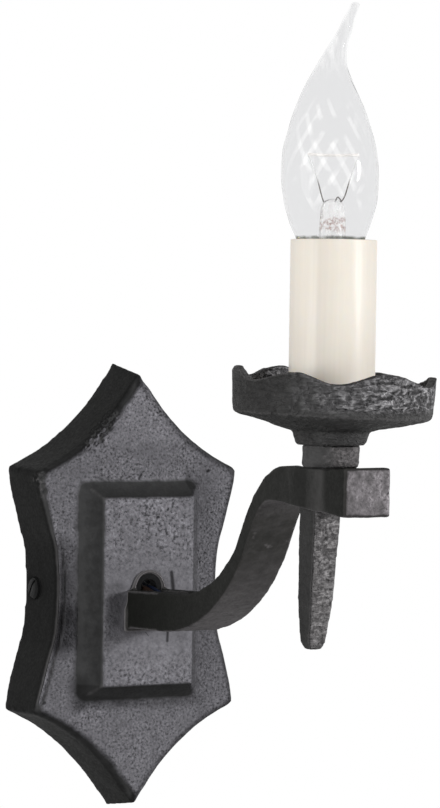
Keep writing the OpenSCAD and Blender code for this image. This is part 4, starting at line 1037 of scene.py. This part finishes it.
# %% Helper for wires
def bent_wire(name, lines, thick):
    """Wires of one thickness in mm. Each line is a list of (side, depth, height) points in mm, where
    side runs along SIDE_WAY."""
    bpy.ops.object.select_all(action="DESELECT")
    bpy.ops.curve.primitive_nurbs_path_add()
    piece = bpy.context.object
    piece.name = name
    piece.data.splines.clear()
    depth_way = Vector((-SIDE_Y, SIDE_X, 0))
    for line in lines:
        spline = piece.data.splines.new("NURBS")
        spline.points.add(len(line) - 1)
        spline.order_u = 3
        spline.use_endpoint_u = True
        for point, (side, deep, height) in zip(spline.points, line):
            place = Vector((0, -REACH, height)) + SIDE_WAY * side + depth_way * deep
            point.co = (*(place * MM), 1)
    piece.data.dimensions = "3D"
    piece.data.resolution_u = 4
    piece.data.bevel_depth = thick / 2 * MM
    piece.data.bevel_resolution = 2
    piece.data.use_fill_caps = True
    only(piece)
    bpy.ops.object.convert(target="MESH")
    bpy.ops.object.shade_smooth()
    print(name, len(piece.data.polygons), "faces")
    return piece

# %% Lead wires
lead_lines = [
    [(-3.4, 0, 138.6), (-4.0, 0, 140.0), (-4.7, 0, 142.6), (-5.5, 0, 145.6), (-6.8, 0, 149.6),
        (-8.9, 0, 154.2)],
    [(1.9, 0, 138.8), (2.7, 0, 139.4), (3.6, 0, 141.4), (4.6, 0, 145.2), (6.0, 0, 149.6),
        (7.9, 0, 154.2)],
    [(0.2, -0.6, 138.9), (0.8, -0.8, 140.7), (1.5, -0.8, 140.2), (2.4, -0.6, 139.0)]]
leads = bent_wire("lamp_leads", lead_lines, 0.42)

# %% Filament
TURNS = 40
COIL_STEPS = TURNS * 8
COIL_RADIUS = 0.42
coil = []
for step in range(COIL_STEPS + 1):
    share = step / COIL_STEPS
    spin = share * TURNS * 2 * math.pi
    sag = -0.3 * math.sin(math.pi * share)
    rise = 154.4 + sag + COIL_RADIUS * math.sin(spin)
    coil.append((-8.9 + 16.8 * share, COIL_RADIUS * math.cos(spin), rise))
filament = bent_wire("lamp_coil", [coil], 0.32)

# %% [markdown]
# The leads are dark near the stem and pale higher up, where they catch the white room; that pale
# part is painted light. The filament is a soft white band in the photograph, and wire this fine would
# show as a dark line, so it gives off a little light of its own.

# %% Wire finishes
TONE_SPAN = 250


def wire_finish(name, tones, rough, glow=0.0):
    """Drawn wire: fine scratches, and a tone that changes with height in mm."""
    made, main, place = shader(name)
    scratch = noise(place, 3000, 2, 0.5)
    stops = [(z / TONE_SPAN, colour) for z, colour in tones]
    tone = ramp_over(fed("SeparateXYZ", [place])["Z"], TONE_SPAN, stops)
    tone = mixed("MULTIPLY", 0.4, tone, ramp(scratch, [(0.3, 0.7), (0.6, 1.0)]))
    finish(main, [(scratch, 0.03, 0.4)], Base_Color=tone, Emission_Color=tone, Emission_Strength=glow,
        Roughness=ramp(scratch, [(0.3, rough + 0.1), (0.7, rough - 0.1)]))
    return made


# Painted light: the leads turn pale from about 147 mm up.
lead_finish = wire_finish("lead_wire", [(140, (0.09, 0.08, 0.075)), (144.5, (0.11, 0.1, 0.095)),
    (147, (0.5, 0.5, 0.5)), (150, (0.53, 0.53, 0.53))], 0.4)
coil_finish = wire_finish("tungsten", [(150, (0.66, 0.64, 0.62)), (156, (0.7, 0.68, 0.66))], 0.3, 0.14)
dress(leads, "lamp_glass", "lamp_wire", lead_finish, "lead_wires")
dress(filament, "lamp_glass", "lamp_wire", coil_finish, "filament")

# %% [markdown]
# ## Small parts that keep their frame shape
#
# Screws, nuts, wires, the bracket, the terminal block, the lampholder and the lamp's cap already have
# the right shape, so they only get finishes. Metal is seldom even: a slow noise dulls it in patches and
# a stretched one lays fine lines in it. Plastic and rubber are matt.

# %% Helpers for metal, plastic and rubber
def metal(name, tone, dull, rough, shine=1.0, gloss=0.5):
    """Bare or plated metal: tone where it is clean and dull where it has tarnished."""
    made, main, place = shader(name)
    tarnish = noise(place, 160, 4, 0.6)
    brushed = noise(stretched(place, (300, 300, 60)), 6, 3, 0.6)
    colour = ramp(tarnish, [(0.36, dull), (0.6, tone)])
    colour = mixed("MULTIPLY", 0.35, colour, ramp(brushed, [(0.3, 0.7), (0.6, 1.0)]))
    finish(main, [(brushed, 0.03, 0.4), (tarnish, 0.05, 0.3)], Base_Color=colour, Metallic=shine,
        Roughness=ramp(tarnish, [(0.35, rough + 0.18), (0.65, rough)]), Specular_IOR_Level=gloss)
    return made


def moulded(name, tone, shade, rough, fine=1200, height=0.03, gloss=0.35):
    """Plastic, rubber or glazed ceramic: an even colour with slow drift and a fine skin."""
    made, main, place = shader(name)
    drift = noise(place, 70, 3, 0.5)
    skin = noise(place, fine, 3, 0.5)
    finish(main, [(skin, height, 0.4)], Base_Color=ramp(drift, [(0.35, shade), (0.65, tone)]),
        Roughness=ramp(skin, [(0.3, rough + 0.08), (0.7, rough - 0.05)]), Specular_IOR_Level=gloss)
    return made

# %% Metal, plastic and rubber
zinc = metal("zinc_plate", (0.62, 0.63, 0.64), (0.36, 0.37, 0.38), 0.32)
black_steel = metal("black_steel", (0.014, 0.014, 0.0142), (0.007, 0.007, 0.007), 0.6, 0.0, 0.12)
brass = metal("brass", (0.76, 0.56, 0.25), (0.44, 0.3, 0.13), 0.3)
tin = metal("tinned_copper", (0.72, 0.7, 0.66), (0.5, 0.42, 0.34), 0.35)
nickel = metal("cap_metal", (0.74, 0.73, 0.7), (0.5, 0.49, 0.46), 0.26)
rubber = moulded("black_rubber", (0.01, 0.01, 0.0105), (0.006, 0.006, 0.006), 0.7, gloss=0.08)
block_grey = moulded("block_plastic", (0.6, 0.59, 0.55), (0.5, 0.49, 0.45), 0.42)
glaze = moulded("holder_ceramic", (0.82, 0.81, 0.77), (0.74, 0.72, 0.67), 0.22, 300, 0.06)
green = moulded("earth_insulation", (0.28, 0.42, 0.03), (0.1, 0.3, 0.04), 0.42)
# The live and neutral insulation are darkened almost to black: painted shade for the hole they run
# through.
brown = moulded("live_insulation", (0.018, 0.009, 0.006), (0.012, 0.006, 0.004), 0.6, gloss=0.1)
blue = moulded("neutral_insulation", (0.006, 0.009, 0.024), (0.004, 0.007, 0.018), 0.6, gloss=0.1)
black_glass = moulded("cap_glass", (0.01, 0.01, 0.012), (0.006, 0.006, 0.008), 0.12, 200, 0.04)

# %% Finish the frame's own nodes
FINISHES = [
    (zinc, ["wall_bracket", "clinch_nuts", "clamp_screws", "block_screw", "arm_bolts", "arm_washers",
        "threaded_tube", "locknut_washer", "holder_bracket", "holder_rivet"]),
    (brass, ["terminal_barrels", "earth_screws", "earth_washers", "locknut", "lampholder_shell",
        "centre_contact", "wire_screws"]),
    (tin, ["ring_terminals", "cap_contact"]), (black_steel, ["side_screws"]), (nickel, ["bulb_cap"]),
    (rubber, ["cable_grommet"]), (block_grey, ["terminal_block"]), (glaze, ["lampholder_body"]),
    (black_glass, ["cap_insulator"]), (green, ["earth_lead"]), (brown, ["live_wire"]),
    (blue, ["neutral_wire"])]
for finish_now, names in FINISHES:
    for name in names:
        for holder in nodes[name].material_slots:
            holder.material = finish_now
print(sum(len(names) for made, names in FINISHES), "frame nodes have a finish")
